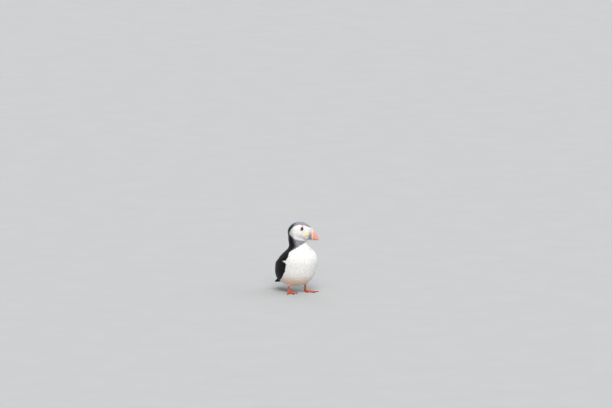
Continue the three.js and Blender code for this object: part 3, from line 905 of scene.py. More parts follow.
def mark_rims(mesh, top):
    """Sharp edges all round the upper side of each vane, so that its shading stays its own."""
    edges = read(mesh.loops, "edge_index", 1, np.int32)[:, 0]
    upper = np.repeat(top, read(mesh.polygons, "loop_total", 1, np.int32)[:, 0])
    above, below = (np.bincount(edges[part], minlength=len(mesh.edges)) > 0
                    for part in (upper, ~upper))
    mesh.attributes.new("sharp_edge", "BOOLEAN", "EDGE").data.foreach_set("value", above & below)


def vanes_piece(name, batches, material, slot):
    """One coat piece from several batches of vanes."""
    base = 0
    for batch in batches:
        batch["quads"] += base
        batch["tris"] += base
        base += len(batch["verts"])
    whole = {key: np.concatenate([batch[key] for batch in batches]) for key in batches[0]}
    # Only the upper side is shaded smooth, so that a thin rim doesn't look rounded.
    top = np.concatenate([whole["top"], np.zeros(len(whole["tris"]), bool)])
    piece = make_mesh(name, whole["verts"], whole["quads"], whole["tris"], whole["tint"],
                      {"OFBake": whole["OFBake"], "vane": whole["vane"]}, top)
    mark_rims(piece.data, top)
    finish_piece(piece, material, slot)


# ---- roots of the feathers
corner = form_verts[form_tris]
face_area = np.linalg.norm(
    np.cross(corner[:, 1] - corner[:, 0], corner[:, 2] - corner[:, 0]), axis=1) / 2
face_middle = corner.mean(1)
NEIGHBOURS = [(i, j, k) for i in (-1, 0, 1) for j in (-1, 0, 1) for k in (-1, 0, 1)]


def scatter(chosen, spacing, tries):
    """Even random places on chosen faces, at least `spacing(place)` mm apart."""
    faces = np.nonzero(chosen)[0]
    weight = face_area[faces] / spacing(face_middle[faces]) ** 2
    picked = rng.choice(faces, size=tries, p=weight / weight.sum())
    r1, r2 = np.sqrt(rng.random(tries)), rng.random(tries)
    a, b, c = (corner[picked, i] for i in range(3))
    places = a * (1 - r1)[:, None] + b * (r1 * (1 - r2))[:, None] + c * (r1 * r2)[:, None]
    gaps = spacing(places)
    keys = np.floor(places / gaps.max()).astype(int)
    grid, kept = {}, []
    for i, (key, gap, place) in enumerate(zip(keys.tolist(), gaps.tolist(), places.tolist())):
        x, y, z = place
        near = (q for dx, dy, dz in NEIGHBOURS
                for q in grid.get((key[0] + dx, key[1] + dy, key[2] + dz), ()))
        if all((q[0] - x) ** 2 + (q[1] - y) ** 2 + (q[2] - z) ** 2 >= gap * gap for q in near):
            grid.setdefault(tuple(key), []).append(place)
            kept.append(i)
    return places[kept]


def split_tips(count, columns, rounding, split, jagged):
    """How much each column of a vane falls short: a rounded tip that splits into points."""
    notch = np.abs(np.linspace(-1, 1, columns)) ** 2 * rounding
    comb = (np.arange(columns) % 2).astype(float)
    flip = rng.random((count, 1)) < 0.5
    comb = np.where(flip, comb[None], 1 - comb[None])
    return notch[None] + split * comb + jagged * rng.random((count, columns))


def lay_feathers(roots, length, width, columns, stops, thick, camber, jagged, lift=0.0,
                 shade=0.12, colours=None, sway=0.10, split=0.10, tip_width=0.4, steer=flow,
                 rounding=0.10, ruffle=0.10, sunk=(0.42, 0.10)):
    """Feathers from roots, lying the way that steer says; sunk is how deep the middle and
    the tip lie, as shares of the coat's depth."""
    count = len(roots)
    p0, n0 = onto(roots)
    way = steer(p0, n0)
    yaw = rng.normal(0, sway, count)[:, None]
    way = unit(way * np.cos(yaw) + np.cross(n0, way) * np.sin(yaw))
    length = length * (1 + rng.normal(0, 0.09, count))
    p1, n1 = onto(p0 + way * (length / 2)[:, None])
    p2, n2 = onto(p1 + level(p1 - p0, n1) * (length / 2)[:, None])
    depth = coat_depth(p0)
    tip_lift = rng.normal(0, ruffle, count) * depth + lift
    q0 = p0 - n0 * (depth * 0.95)[:, None]
    q1 = p1 - n1 * (depth * sunk[0])[:, None]
    q2 = p2 - n2 * (depth * sunk[1] - tip_lift)[:, None]
    colour, dark = colours or marking(p0 * 0.45 + p1 * 0.55)
    vary = 1 + rng.normal(0, 0.05, count)[:, None] * (1 + 2 * dark[:, None])
    tip = np.clip(colour * vary, 0.003, 0.9)
    # Each feather is darker towards its root: painted shade where the feathers overlap, partly the
    # greyer base of a real feather.
    root = tip * (1 - shade * (0.35 + 0.65 * dark[:, None]))
    notch = split_tips(count, columns, rounding, split, jagged)
    return grow_vanes(q0, q1, q2, n0, n2, width * (1 + rng.normal(0, 0.08, count)), stops,
                      notch, camber, thick, root, tip, root_places(p0), tip_width)


# ---- contour feathers
face_bare = bare(head_local(face_middle))
head_here = head_reach(head_local(face_middle)) < 1.04
wing_faces = wing_share(face_middle) > 0.55
tail_faces = (back_of(face_middle) > 57) & (face_middle[:, 2] < 60)
body_faces = ~head_here & ~tail_faces & ~wing_faces & (face_bare < 0)
head_faces = head_here & (face_bare < -0.1) & (face_middle[:, 2] > 138)
BODY_TRIES, HEAD_TRIES, COVERT_TRIES = 130000, 170000, 30000
SCAPULAR_TRIES, RUMP_TRIES = 9000, 12000
BODY_STOPS, HEAD_STOPS = [0, 0.30, 0.58, 0.83, 1.0], [0, 0.36, 0.72, 1.0]
SLEEK = (0.32, 0.14)  # tips dip into the layer below, so that white plumage looks smooth
SPUR_Z, SPUR_POINT = 89.9, (88.9, 87.0)  # where it starts, and the height and angle it points at
# Its rows: the angle, half the height, how many feathers, how pale they are.
SPUR = ((74.5, 0.2, 2, 0.46), (72.0, 1.0, 4, 0.54), (69.5, 1.9, 6, 0.68), (66.8, 2.8, 8, 0.86))


def body_spacing(p):
    back = smooth(body_angle(p), 75, 120) * smooth(p[:, 2], 60, 90)
    return 1.18 + 0.20 * smooth(p[:, 2], 135, 105) + 0.40 * back


def body_batch(roots, white):
    z, angle = roots[:, 2], body_angle(roots)
    size = 0.66 + 0.34 * smooth(z, 146, 108)
    back = smooth(angle, 72, 115) * smooth(z, 50, 80) * smooth(z, 125, 105)
    length = (11.5 * size + 3.0 * back) * (1 - 0.35 * smooth(z, 30, 20))
    looks = dict(shade=0.38, ruffle=0.046, sunk=SLEEK) if white else dict(lift=0.05)
    return lay_feathers(roots, length, 2.7 * size + 2.2 * back, columns=7, stops=BODY_STOPS,
                        thick=0.025, camber=0.05, jagged=0.08, split=0.16, tip_width=0.50,
                        **looks)


def spur_batch(side):
    """The pale spur of the flank that runs back between the shoulder and the wing."""
    height = np.concatenate([np.linspace(-half, half, n) for _, half, n, _ in SPUR])
    angle = np.concatenate([np.full(n, at) for at, _, n, _ in SPUR])
    shade = np.concatenate([np.full(n, pale) for _, _, n, pale in SPUR])
    roots = body_point(SPUR_Z + height, np.radians(angle), 0.0) * [side, 1, 1]
    point = body_point(np.float64(SPUR_POINT[0]), np.radians(SPUR_POINT[1]), 0.0) * [side, 1, 1]
    count = len(roots)
    return lay_feathers(roots, np.full(count, 8.6), np.full(count, 1.7), columns=7,
                        stops=BODY_STOPS, thick=0.03, camber=0.06, jagged=0.08, split=0.14,
                        tip_width=0.22, sway=0.02, sunk=(-0.22, -0.34),
                        steer=lambda points, normals: level(point - points, normals),
                        colours=(WHITE * shade[:, None], np.zeros(count)))


roots = scatter(body_faces, body_spacing, BODY_TRIES)
_, dark = marking(roots)
# No white feather reaches over the wing's lower edge.
place, normal = onto(roots)
way = flow(place, normal)
on_wing = np.max([wing_share(place + way * reach) for reach in (6.0, 9.0, 11.0)], axis=0)
kept = (dark > 0.5) | (roots[:, 2] > 62) | (on_wing < 0.15)
roots, dark = roots[kept], dark[kept] >= 0.5
# Name, whether it is white, and the height it lies above or below.
for name, white, height, upper in (
    ("coat_breast", True, 72, True), ("coat_belly", True, 72, False),
    ("coat_nape", False, 112, True), ("coat_back", False, 112, False),
):
    here = (dark != white) & ((roots[:, 2] >= height) == upper)
    for label, side in SIDES:
        batches = [body_batch(roots[here & ((roots[:, 0] >= 0) == (side > 0))], white)]
        if name == "coat_breast":
            batches.append(spur_batch(side))
        vanes_piece(name + "_" + label, batches, white_vane if white else dark_vane,
                    "white_plumage" if white else "black_plumage")


# ---- small feathers of the head
def head_spacing(p):
    local = head_local(p)
    front, near_eye = smooth(local[:, 0], -8, 16), smooth(eye_gap(local), 12, 7)
    return 0.84 - 0.22 * np.maximum(front, near_eye)


def head_batch(roots):
    local = head_local(roots)
    front, near = smooth(local[:, 0], -8, 18), smooth(bare(local), -7, -0.3)
    small = np.maximum(front * 0.55, near * 0.66)
    return lay_feathers(roots, 6.6 * (1 - small), 1.45 * (1 - small * 0.55), columns=5,
                        stops=HEAD_STOPS, thick=0.02, camber=0.04, jagged=0.10, shade=0.30,
                        sway=0.12, split=0.22, tip_width=0.55, ruffle=0.06, sunk=SLEEK)


roots = scatter(head_faces, head_spacing, HEAD_TRIES)
# A small feather doesn't reach over the eye.
place, normal = onto(roots)
reach = place + flow(place, normal) * 2.0
roots = roots[(eye_gap(head_local(reach)) > 4.9) | (eye_gap(head_local(roots)) > 8.2)]
on_left = head_local(roots)[:, 1] > 0
for name, here in (("coat_head_left", on_left), ("coat_head_right", ~on_left)):
    vanes_piece(name, [head_batch(roots[here])], white_vane, "face_plumage")


# ---- wings
def wing_place(t, share, out, side):
    """A place on a folded wing: t from the shoulder to the tip, share from the lower edge."""
    row = wing_curve(t)
    z = row[..., 1] + (row[..., 2] - row[..., 1]) * share
    edge = 1 - np.abs(2 * share - 1) ** 4
    thick = 5.2 + (2.2 - 5.2) * t
    depth = row[..., 3] - (1 - edge) * 0.12 * thick + out
    return body_point(np.clip(z, 16.6, 162), np.radians(row[..., 0]), depth) * [side, 1, 1]


def wing_up(t, share, side, e=0.004):
    """Outward normal of the wing's surface."""
    a = wing_place(t + e, share, 0 * t, side) - wing_place(t - e, share, 0 * t, side)
    b = wing_place(t, share + e, 0 * t, side) - wing_place(t, share - e, 0 * t, side)
    return unit(np.cross(b, a)) * -side


WING_END = wing_place(np.array([0.97]), np.array([0.45]), np.array([0.0]), 1.0)[0]


def toward_wing_end(points, normals):
    """Coverts point down the wing, to where its longest quills end."""
    sides = np.where(points[:, :1] < 0, [-1, 1, 1], [1, 1, 1])
    steep = 0.55 * smooth(body_angle(points), 110, 72)[:, None]
    return level(mix(unit(WING_END * sides - points), DOWN, steep), normals)


def end_gap(points):
    """Distance to the end of the nearer wing."""
    return np.linalg.norm(np.abs(points * [1, 0, 0]) + points * [0, 1, 1] - WING_END, axis=1)


def wing_feathers(roots, length, width, stops, dye, **looks):
    colours = (np.tile(BLACK * dye, (len(roots), 1)), np.ones(len(roots)))
    return lay_feathers(roots, length, width, columns=7, stops=stops, thick=0.07, camber=0.09,
                        jagged=0.02, split=0.02, colours=colours, steer=toward_wing_end, **looks)


def covert_batch(roots):
    grown = smooth(end_gap(roots), 108, 52)
    return wing_feathers(roots, 8.0 + 15.0 * grown, 3.0 + 3.8 * grown,
                         [0, 0.22, 0.44, 0.66, 0.82, 0.93, 1.0], dye=1.05, lift=0.22,
                         tip_width=0.55, rounding=0.12, sway=0.05)


def scapular_batch(roots):
    size = 0.55 + 0.50 * smooth(body_angle(roots), 82, 112)
    return wing_feathers(roots, 21.0 * size, 6.8 * size, [0, 0.2, 0.4, 0.6, 0.8, 0.93, 1.0],
                         dye=1.0, lift=0.35, tip_width=0.5, rounding=0.14, sway=0.06)


def narrowed(along, low, high, power, least=0.02):
    """Rounds the end of a feather or a toe."""
    return np.sqrt(np.clip(1 - smooth(along, low, high) ** power, least, 1))


def quill_colour(dye, count):
    return np.tile(BLACK * dye, (count, 1)) * (1 + rng.normal(0, 0.12, count))[:, None]


def wing_quills(side, count=18, rows=18, start=0.46):
    """Primaries and secondaries: each a long vane, stacked from the lower edge upwards, from
    the outermost primary to the innermost secondary near the back."""
    along, index = np.linspace(0, 1, rows), np.arange(count)
    rank = index / (count - 1)
    end = 0.998 - 0.27 * rank ** 1.1
    low, high = 0.06 + 0.88 * rank, 0.12 + 0.65 * rank ** 0.85
    t = start + (end - start)[:, None] * along[None]
    share = low[:, None] + (high - low)[:, None] * along[None] ** 0.9
    out = -1.5 + (1.6 + 0.7 * rank[:, None]) * smooth(t, 0.52, 0.72)
    paths = wing_place(t, share, out, side)
    ups = wing_up(np.clip(t, 0.01, 0.985), share, side)
    # Near the wing's upper edge they follow the coat, which is smooth over the shoulder.
    place, normal = onto(paths)
    eased = (smooth(share, 0.30, 0.55) * smooth(t, 0.95, 0.84))[..., None]
    paths = mix(paths, place + normal * (out[..., None] * 0.8 - 0.2), eased)
    ups = unit(mix(ups, normal, eased))
    body = (0.55 + 0.45 * smooth(along, 0, 0.3)) * narrowed(along, 0.78, 1.01, 1.6)
    half = (3.6 + 0.6 * np.sin(rank * math.pi))[:, None] * body[None]
    half = half * (1 - 0.45 * smooth(share, 0.5, 0.85) * smooth(t, 0.6, 0.85))
    cells = np.stack([0.01 + 0.018 * index + (0.5 if side < 0 else 0), 0 * index + 0.02], -1)
    return quill_mesh(paths, ups, half, quill_colour(1.15, count), cells)


wing_roots = scatter(wing_faces & (end_gap(face_middle) > 42),
                     lambda p: 1.5 + 1.3 * smooth(end_gap(p), 105, 65), COVERT_TRIES)
over = above_wing(face_middle)
shoulder = ((body_angle(face_middle) > 80) & (over > -7) & (over < 13) & ~head_here
            & (end_gap(face_middle) > 40))
scapular_roots = scatter(shoulder, lambda p: np.full(len(p), 2.5), SCAPULAR_TRIES)
for label, side in SIDES:
    scapulars = scapular_batch(scapular_roots[scapular_roots[:, 0] * side > 0])
    vanes_piece("scapulars_" + label, [scapulars], dark_vane, "black_plumage")
    vanes_piece("wing_quills_" + label, [wing_quills(side)], dark_vane, "black_plumage")
    coverts = covert_batch(wing_roots[wing_roots[:, 0] * side > 0])
    vanes_piece("wing_coverts_" + label, [coverts], dark_vane, "black_plumage")


# ---- tail
TAIL_UP = np.array([0, 0.58, 0.81])


def tail_quills(count=16, rows=14, start=0.12):
    along, index = np.linspace(0, 1, rows), np.arange(count)
    spread = (index - (count - 1) / 2) / ((count - 1) / 2)
    inner = (1 - np.abs(spread))[:, None]
    t = start + (0.965 - 0.10 * np.abs(spread) ** 2.5 - start)[:, None] * along[None]
    row = tail_curve(t)
    across = row[..., 2] * spread[:, None] * (0.50 + 0.36 * along[None] ** 0.8)
    sag = 0.1 * across * across / np.maximum(row[..., 2], 1)
    lift = 0.5 + inner * 1.1 + row[..., 3] * 0.45 - sag
    paths = np.stack([across, SHIFT_Y - row[..., 0], row[..., 1]], -1) + TAIL_UP * lift[..., None]
    body = (0.6 + 0.4 * smooth(along, 0, 0.3)) * narrowed(along, 0.8, 1.02, 1.8)
    half = (3.6 + 0.4 * inner) * body[None]
    cells = np.stack([0.05 + 0.02 * index, 0 * index + 0.5], -1)
    order = np.argsort(-np.abs(spread))
    ups = np.tile(unit(TAIL_UP), (count, rows, 1))
    return quill_mesh(paths[order], ups, half[order], quill_colour(1.2, count), cells)


vanes_piece("tail_quills", [tail_quills()], dark_vane, "black_plumage")
rump_faces = tail_faces & (back_of(face_middle) < 84)
roots = scatter(rump_faces, lambda p: np.full(len(p), 1.6), RUMP_TRIES)
above = roots[:, 2] > tail_height(roots) - 1.0
kept = above | (np.abs(roots[:, 0]) < np.interp(back_of(roots), [57, 63, 69], [12, 6, 0]))
roots, above = roots[kept], above[kept]
for name, here, colour, material, slot in (
    ("coat_rump", above, BLACK, dark_vane, "black_plumage"),
    ("coat_vent", ~above, WHITE * 0.9, white_vane, "white_plumage"),
):
    count = int(here.sum())
    batch = lay_feathers(roots[here], np.full(count, 11.0), np.full(count, 3.8), columns=5,
                         stops=BODY_STOPS, thick=0.06, camber=0.08, jagged=0.08, lift=0.2,
                         colours=(np.tile(colour, (count, 1)), above[here].astype(float)))
    vanes_piece(name, [batch], material, slot)


# ---- bill
INNER_HORN = np.array([0.200, 0.205, 0.330])
INNER_TOP_HIGHLIGHT = np.array([0.52, 0.54, 0.60])
LOWER_PALE = np.array([0.60, 0.585, 0.48])
RIDGE_HORN = np.array([0.84, 0.66, 0.36])
OUTER_HORN = np.array([0.66, 0.25, 0.195])
OUTER_HIGHLIGHT = np.array([0.76, 0.53, 0.46])
GROOVE_HORN = np.array([0.78, 0.42, 0.25])
TIP_HORN = np.array([0.64, 0.30, 0.25])
CREAM = np.array([0.74, 0.67, 0.48])
UPPER_GROOVES, LOWER_GROOVES = (4.6, 8.8, 13.0), (5.4, 10.2)  # past the cream bar


def horn_shape(u, w, share, upper):
    """How far the horn stands proud at a place, and its colour."""
    bend = u + 0.19 * w - 31.2 + 0.006 * (w + 6) ** 2 * upper
    flank = 1 - smooth(share, 0.80, 0.98)
    grooves = sum(gauss(bend, at, 0.50) for at in (UPPER_GROOVES if upper else LOWER_GROOVES))
    deep = np.clip(grooves, 0, 1) * flank
    ridge = gauss(bend, 0, 0.85)
    swell = 0.25 * smooth(bend, 0.5, 2.6) * (1 - smooth(bend, 3.2, 5.0))
    proud = 0.42 * ridge * flank - (0.36 if upper else 0.22) * deep + swell * flank
    outer = smooth(bend, -0.5, 0.5)[..., None]
    # The inner horn of the upper half pales towards the top, a painted highlight from the light
    # above; the lower half pales along its bottom edge.
    pale = (smooth(w, -11, 3) if upper else smooth(w, -20.5, -25))[..., None]
    # The outer horn pales towards the ridge near the base of the upper half: a painted highlight
    # of its gloss.
    painted_gloss = 0.55 * (smooth(share, 0.45, 1.0) * smooth(u, 46, 32))[..., None] * upper
    colour = mix(mix(INNER_HORN, INNER_TOP_HIGHLIGHT if upper else LOWER_PALE, pale),
                 mix(OUTER_HORN, OUTER_HIGHLIGHT, painted_gloss), outer)
    colour = mix(colour, GROOVE_HORN, 0.55 * deep[..., None] * outer)
    colour = mix(colour, RIDGE_HORN, np.clip(ridge * 1.15, 0, 1)[..., None])
    colour = mix(colour, TIP_HORN, smooth(u, 46, 52)[..., None] * 0.5)
    colour = mix(colour, GROOVE_HORN, gauss(share, 0, 0.03)[..., None] * 0.5 * outer)
    if upper:
        line = mouth_at(u) + 2.3 + 0.10 * (u - 27)
        slit = np.hypot(np.maximum(np.abs(u - 26.6) - 2.1, 0) * 0.7, w - line)
        nostril = 1 - smooth(slit, 0.10, 0.62)
        proud = proud - 0.45 * nostril
        # The slit is painted nearly black: painted shade inside the nostril.
        colour = colour * (1 - 0.92 * nostril[..., None])
    return proud, colour


def bill_rings(upper, along, base, proud=None):
    """Half outlines of a half of the bill, from its base, or past it where it stands proud."""
    share = np.sin(np.linspace(0, math.pi / 2, 58) ** 1.15 / (math.pi / 2) ** 0.15)[None]
    w = np.full((len(along), share.shape[1]), -10.0)
    for _ in range(8):
        start = base(w)
        if proud is None:
            u = start + (BILL_TIP - start) * along[:, None]
        else:
            u = start + along[:, None]
        wide, w = bill_side(u, share, upper, 0.0 if proud is None else proud[:, None])
    return u, wide, w, share + 0 * u


def bill_loft(name, u, wide, w, colour):
    """A solid from half outlines, mirrored over the bill's middle."""
    left, right = np.stack([u, wide, w], -1), np.stack([u, -wide, w], -1)
    rings = np.concatenate([left, right[:, ::-1]], 1)
    return loft(name, head_world(rings), np.concatenate([colour, colour[:, ::-1]], 1))


horn = horn_material("bill_horn", rough=0.34, coat=0.30, grain=1300, bump=0.35)
along = np.linspace(0, 1, 110) ** 0.9
for upper, half, base in ((True, "upper", lambda w: BASE_ALONG + w * BASE_LEAN - 1.5),
                          (False, "lower", lambda w: LOWER_BASE + 0 * w)):
    u, wide, w, share = bill_rings(upper, along, base)
    proud, colour = horn_shape(u, w, share, upper)
    wide = np.maximum(wide + proud * smooth(wide, 0.2, 1.6), 0.02)
    finish_piece(bill_loft("bill_%s_horn" % half, u, wide, w, colour), horn, "bill_horn",
                 "bill_" + half)

steps = np.linspace(-1.0, 2.7, 22)
swell = 1.15 * np.sqrt(np.clip(1 - ((steps - 0.95) / 1.85) ** 2, 0, 1)) - 0.2
u, wide, w, _ = bill_rings(True, steps, lambda w: BASE_ALONG + w * BASE_LEAN, swell)
uneven = 0.06 * wander(np.stack([u, wide, w], -1).reshape(-1, 3), 1.6, 5).reshape(u.shape)
# A crease round the cere, dented and painted darker: painted shade in the crease.
crease = gauss(steps, 2.0, 0.35)[:, None] + 0 * u
cere = bill_loft("bill_base_cere", u, wide + uneven - 0.12 * crease, w,
                 CREAM * (1 - 0.3 * crease[..., None]))
finish_piece(cere, cere_material(), "bill_ridge", "bill_base_ridge")


# ---- gape rosettes
YOLK, AMBER = np.array([0.82, 0.55, 0.06]), np.array([0.80, 0.42, 0.10])
GOLD, LEMON = np.array([0.84, 0.72, 0.13]), np.array([0.86, 0.83, 0.30])


def rosette_rings(side):
    """A soft wrinkled disc, split by the line of the mouth."""
    turn = circle(72)[None]
    radius = np.concatenate([[0.72, 0.98, 1.03], np.linspace(1.0, 0.02, 26)])[:, None]
    sunk = np.concatenate([[-1.6, -1.0, -0.35], np.zeros(26)])[:, None]
    shown = sunk == 0
    dome = np.sqrt(np.clip(1 - np.minimum(radius, 1) ** 2.2, 0, 1)) * ROSETTE[3] * 0.92 * shown
    folds = np.sin(turn * 9 + 1.3 * np.sin(turn * 2)) * gauss(radius, 0.62, 0.30)
    rings = np.sin(radius * 15 + 0.8 * np.sin(turn * 3)) * smooth(radius, 0.1, 0.4)
    lobe = 1 + 0.07 * np.sin(turn * 5 + 0.6) + 0.05 * np.sin(turn * 8)
    a = ROSETTE[2] * radius * lobe * np.cos(turn)
    b = ROSETTE[4] * radius * lobe * np.sin(turn)
    split = gauss(b + 1.4 + 0.05 * a, 0, 0.42) * smooth(a, -1.5, 1.0)
    height = dome * (1 - 0.45 * split) + (0.11 * folds + 0.13 * rings) * shown + sunk
    v = side * (bill_row(ROSETTE[0])[3] + 2.5 + height - 0.16 * a)
    # The colour follows the folds, lighter gold on their crests and deeper yolk in their hollows:
    # painted shade in the folds.
    colour = mix(YOLK, GOLD, np.clip(0.5 + 0.35 * folds + 0.25 * rings, 0, 1)[..., None])
    colour = mix(colour, LEMON, 0.55 * smooth(b, -0.5, 4.0)[..., None])
    colour = mix(colour, AMBER, 0.55 * smooth(radius + 0 * turn, 0.75, 1.0)[..., None])
    # The line of the mouth is darkened: painted shade in its crease.
    return (np.stack([ROSETTE[0] + a, v, ROSETTE[1] + b], -1),
            colour * (1 - 0.6 * split[..., None]))


rosette_skin = horn_material("rosette_skin", rough=0.52, coat=0.05, grain=2400, bump=0.5)
for label, side in SIDES:
    rings, tints = rosette_rings(side)
    finish_piece(loft("rosette_folds_" + label, head_world(rings), tints), rosette_skin,
                 "rosette", "rosette_" + label)


# ---- eyes
LID_RED, PLATE = np.array([0.66, 0.100, 0.050]), np.array([0.115, 0.135, 0.19])
EYE_EDGE, IRIS, PUPIL = np.array([0.010, 0.008, 0.008]), np.array([0.040, 0.019, 0.010]), 0.0025


def spokes(turn, ahead, above):
    return np.cos(turn)[:, None] * ahead + np.sin(turn)[:, None] * above


class Eye:
    """Where an eye looks, ahead and above in its plane, and how far out the face lies."""

    def __init__(self, side):
        self.middle = EYE_SPOTS[side]
        self.axis = unit(np.array([0.25, side, 0.20]))
        for _ in range(3):
            self.ahead = unit(np.array([1.0, 0, 0]) - self.axis[0] * self.axis)
            self.above = np.cross(self.axis, self.ahead)
            self.above *= np.sign(self.above[2])
            ring = 6.6 * spokes(circle(24), self.ahead, self.above)
            place, normal = onto(head_world(self.middle + self.axis * 2.8 + ring))
            self.axis = unit((normal @ HEAD_AXES).mean(0))
        self.face = ((head_local(place) - self.middle) @ self.axis).mean()

    def ball(self, polar, turn=circle(48)):
        far = EYE_RADIUS - 0.15 + 0.30 * gauss(polar, 0, 0.55)
        around = spokes(turn, self.ahead, self.above)[None]
        out = np.cos(polar)[:, None, None] * self.axis + np.sin(polar)[:, None, None] * around
        return head_world(self.middle + out * far[:, None, None])

    def strip(self, ahead, above, half_side, half_up, lift=0.1):
        """A tapered strip of horn that lies on the face beside the eye."""
        spot = self.middle + self.axis * (self.face + 0.5)
        place, normal = onto(head_world(
            spot + ahead[:, None] * self.ahead + above[:, None] * self.above))
        across = unit(np.cross(unit(np.gradient(place, axis=0)), normal))
        return tube(place + normal * lift, across, normal, half_side, half_up)

    def ring(self, name, flip, long=72, around=14):
        """The red ring of bare skin round the eye."""
        a, b = circle(long), circle(around)
        minor = 0.48 + 0.04 * np.sin(a * 11) + 0.03 * np.sin(a * 17 + 1)
        reach = (3.85 + 0.10 * np.cos(2 * a))[:, None] + minor[:, None] * np.cos(b)[None]
        rise = 0.62 * minor[:, None] * np.sin(b)[None] + self.face + 0.62
        out = spokes(a, self.ahead, self.above)[:, None]
        verts = self.middle + out * reach[..., None] + self.axis * rise[..., None]
        i, j = np.meshgrid(np.arange(long) * around, np.arange(around), indexing="ij")
        k, m = (i + around) % (long * around), (j + 1) % around
        quads = np.stack([i + j, k + j, k + m, i + m], -1).reshape(-1, 4)
        red = np.tile(LID_RED * (1 - 0.5 * smooth(np.cos(b), 0.4, -0.8)[:, None]), (long, 1))
        return make_mesh(name, head_world(verts.reshape(-1, 3)), quads[:, ::-1 if flip else 1],
                         None, red)


eye_wet = eye_material()
lid_skin = horn_material("lid_skin", rough=0.50, coat=0.0, grain=2600, bump=0.6)
for label, side in SIDES:
    eye = Eye(side)
    polar = np.linspace(0.015, math.pi - 0.015, 44)
    tone = mix(EYE_EDGE, IRIS, smooth(polar, 0.78, 0.70)[:, None])
    tone = mix(tone, PUPIL, smooth(polar, 0.44, 0.38)[:, None])
    ball = loft("eyeball_" + label, eye.ball(polar), np.repeat(tone[:, None], 48, 1))
    finish_piece(ball, eye_wet, "eye", "eye_" + label)
    finish_piece(eye.ring("orbital_ring_" + label, side > 0), lid_skin, "eye")
    t = np.linspace(0, 1, 12)
    bulge = np.sin(t * math.pi) ** 0.5
    top = eye.strip(0.3 - 1.7 * t ** 1.2, 4.35 + 4.0 * t, 2.5 * (1 - t) ** 0.8 + 0.18,
                    0.62 * (1 - 0.6 * t) + 0.03)
    low = eye.strip(-4.6 + 8.8 * t, -4.55 - 0.9 * np.sin(t * math.pi) * 0.5,
                    0.30 + 0.62 * bulge, 0.25 + 0.35 * bulge)
    for name, rings in (("plate_top_", top), ("plate_low_", low)):
        tints = np.broadcast_to(PLATE, rings.shape)
        finish_piece(loft(name + label, rings, tints), lid_skin, "eye")


# ---- legs and feet
LEG_RED, LEG_DARK = np.array([0.60, 0.105, 0.030]), np.array([0.42, 0.065, 0.022])
CLAW = np.array([0.020, 0.017, 0.017])
RIGHT, BEHIND, UP = np.eye(3)
LEG_VOXEL, LEG_TOP = 0.43, 36


def foot_place(side, spread, reach, z):
    """A place on a foot: reach along a heading that turns out from straight ahead."""
    heading = FOOT_OUT + spread
    return np.stack([side * (LEG_APART + reach * np.sin(heading)),
                     SHIFT_Y - (LEG_BASE + reach * np.cos(heading)), z + 0 * reach], -1)


def toe_rings(side, spread, length):
    t = np.linspace(0, 1, 34)
    radius = 2.25 - 0.75 * t + 0.30 * np.cos(4 * math.pi * t)
    radius = radius * narrowed(t, 0.93, 1.02, 2, 0.05)
    path = foot_place(side, spread, -2 + (length + 2) * t, 1.75 - 0.35 * t)
    way = foot_place(side, spread, 1.0, 0) - foot_place(side, spread, 0.0, 0)
    return tube(path, np.cross(way, UP), UP, radius, radius * 0.92, 16)


def web_mesh(side, low, high, hollow):
    """A thin sheet between two toes, its free edge scooped, its middle a little lower."""
    (spread_a, reach_a, _), (spread_b, reach_b, _) = TOES[low], TOES[high]
    across, along = np.linspace(0, 1, 22), np.linspace(0.04, 1, 26)[:, None]
    bow = 4 * across * (1 - across)
    end = mix(reach_a - 2.5, reach_b - 2.5, across)
    end = end - (end.mean() - hollow) * bow * 1.05
    spread, reach = mix(spread_a, spread_b, across)[None], along * end
    ripple = 0.10 * np.sin(across * 9.0) * along
    top = foot_place(side, spread, reach, 1.28 - 0.34 * bow * along + ripple)
    under = foot_place(side, spread, reach, 0.18 + 0.22 * bow + ripple * 0.5)
    rows, cols = reach.shape
    half, faces = rows * cols, grid_faces(rows, cols)
    rim = np.concatenate([np.arange(cols), np.arange(1, rows) * cols + cols - 1,
                          (rows - 1) * cols + np.arange(cols - 2, -1, -1),
                          np.arange(rows - 2, 0, -1) * cols])
    after = np.roll(rim, -1)
    sides = np.stack([after, rim, rim + half, after + half], -1)
    return mesh_of(make_mesh("scratch", np.concatenate([top.reshape(-1, 3), under.reshape(-1, 3)]),
                             np.concatenate([faces, faces[:, ::-1] + half, sides])))


def leg_parts(side):
    """The shank, the heel, the toes and the webs, as meshes."""
    z = np.linspace(LEG_TOP, 2.2, 30)
    low = np.clip((LEG_HOCK_Z + 7 - z) / (LEG_HOCK_Z + 7 - LEG_BASE_Z), 0, 1)
    path = np.stack([side * (LEG_APART - 0.6 * (1 - low)),
                     SHIFT_Y - LEG_HOCK * (1 - low) + 1.1 * low * (1 - low), z], -1)
    share = (LEG_TOP - z) / (LEG_TOP - 2.2)
    wide = 2.15 + 1.0 * smooth(share, 0.25, 0.0) + 0.75 * gauss(share, 0.97, 0.14)
    deep = 3.05 + 0.5 * smooth(share, 0.25, 0.0) + 0.45 * gauss(share, 0.97, 0.14)
    t = np.linspace(0, math.pi, 14)
    size = np.maximum(np.sin(t), 0.05)
    heel = -np.cos(t)[:, None] * 5.6 * BEHIND + foot_place(side, 0.0, 1.0, 3.0)
    rings = [tube(path, RIGHT, BEHIND, wide, deep, 20),
             tube(heel, RIGHT, UP, 3.5 * size, 3.1 * size, 18)]
    rings += [toe_rings(side, spread, length) for spread, length, _ in TOES.values()]
    return [mesh_of(loft("scratch", part)) for part in rings] + [
        web_mesh(side, "inner", "middle", 23.0), web_mesh(side, "middle", "outer", 27.0)]


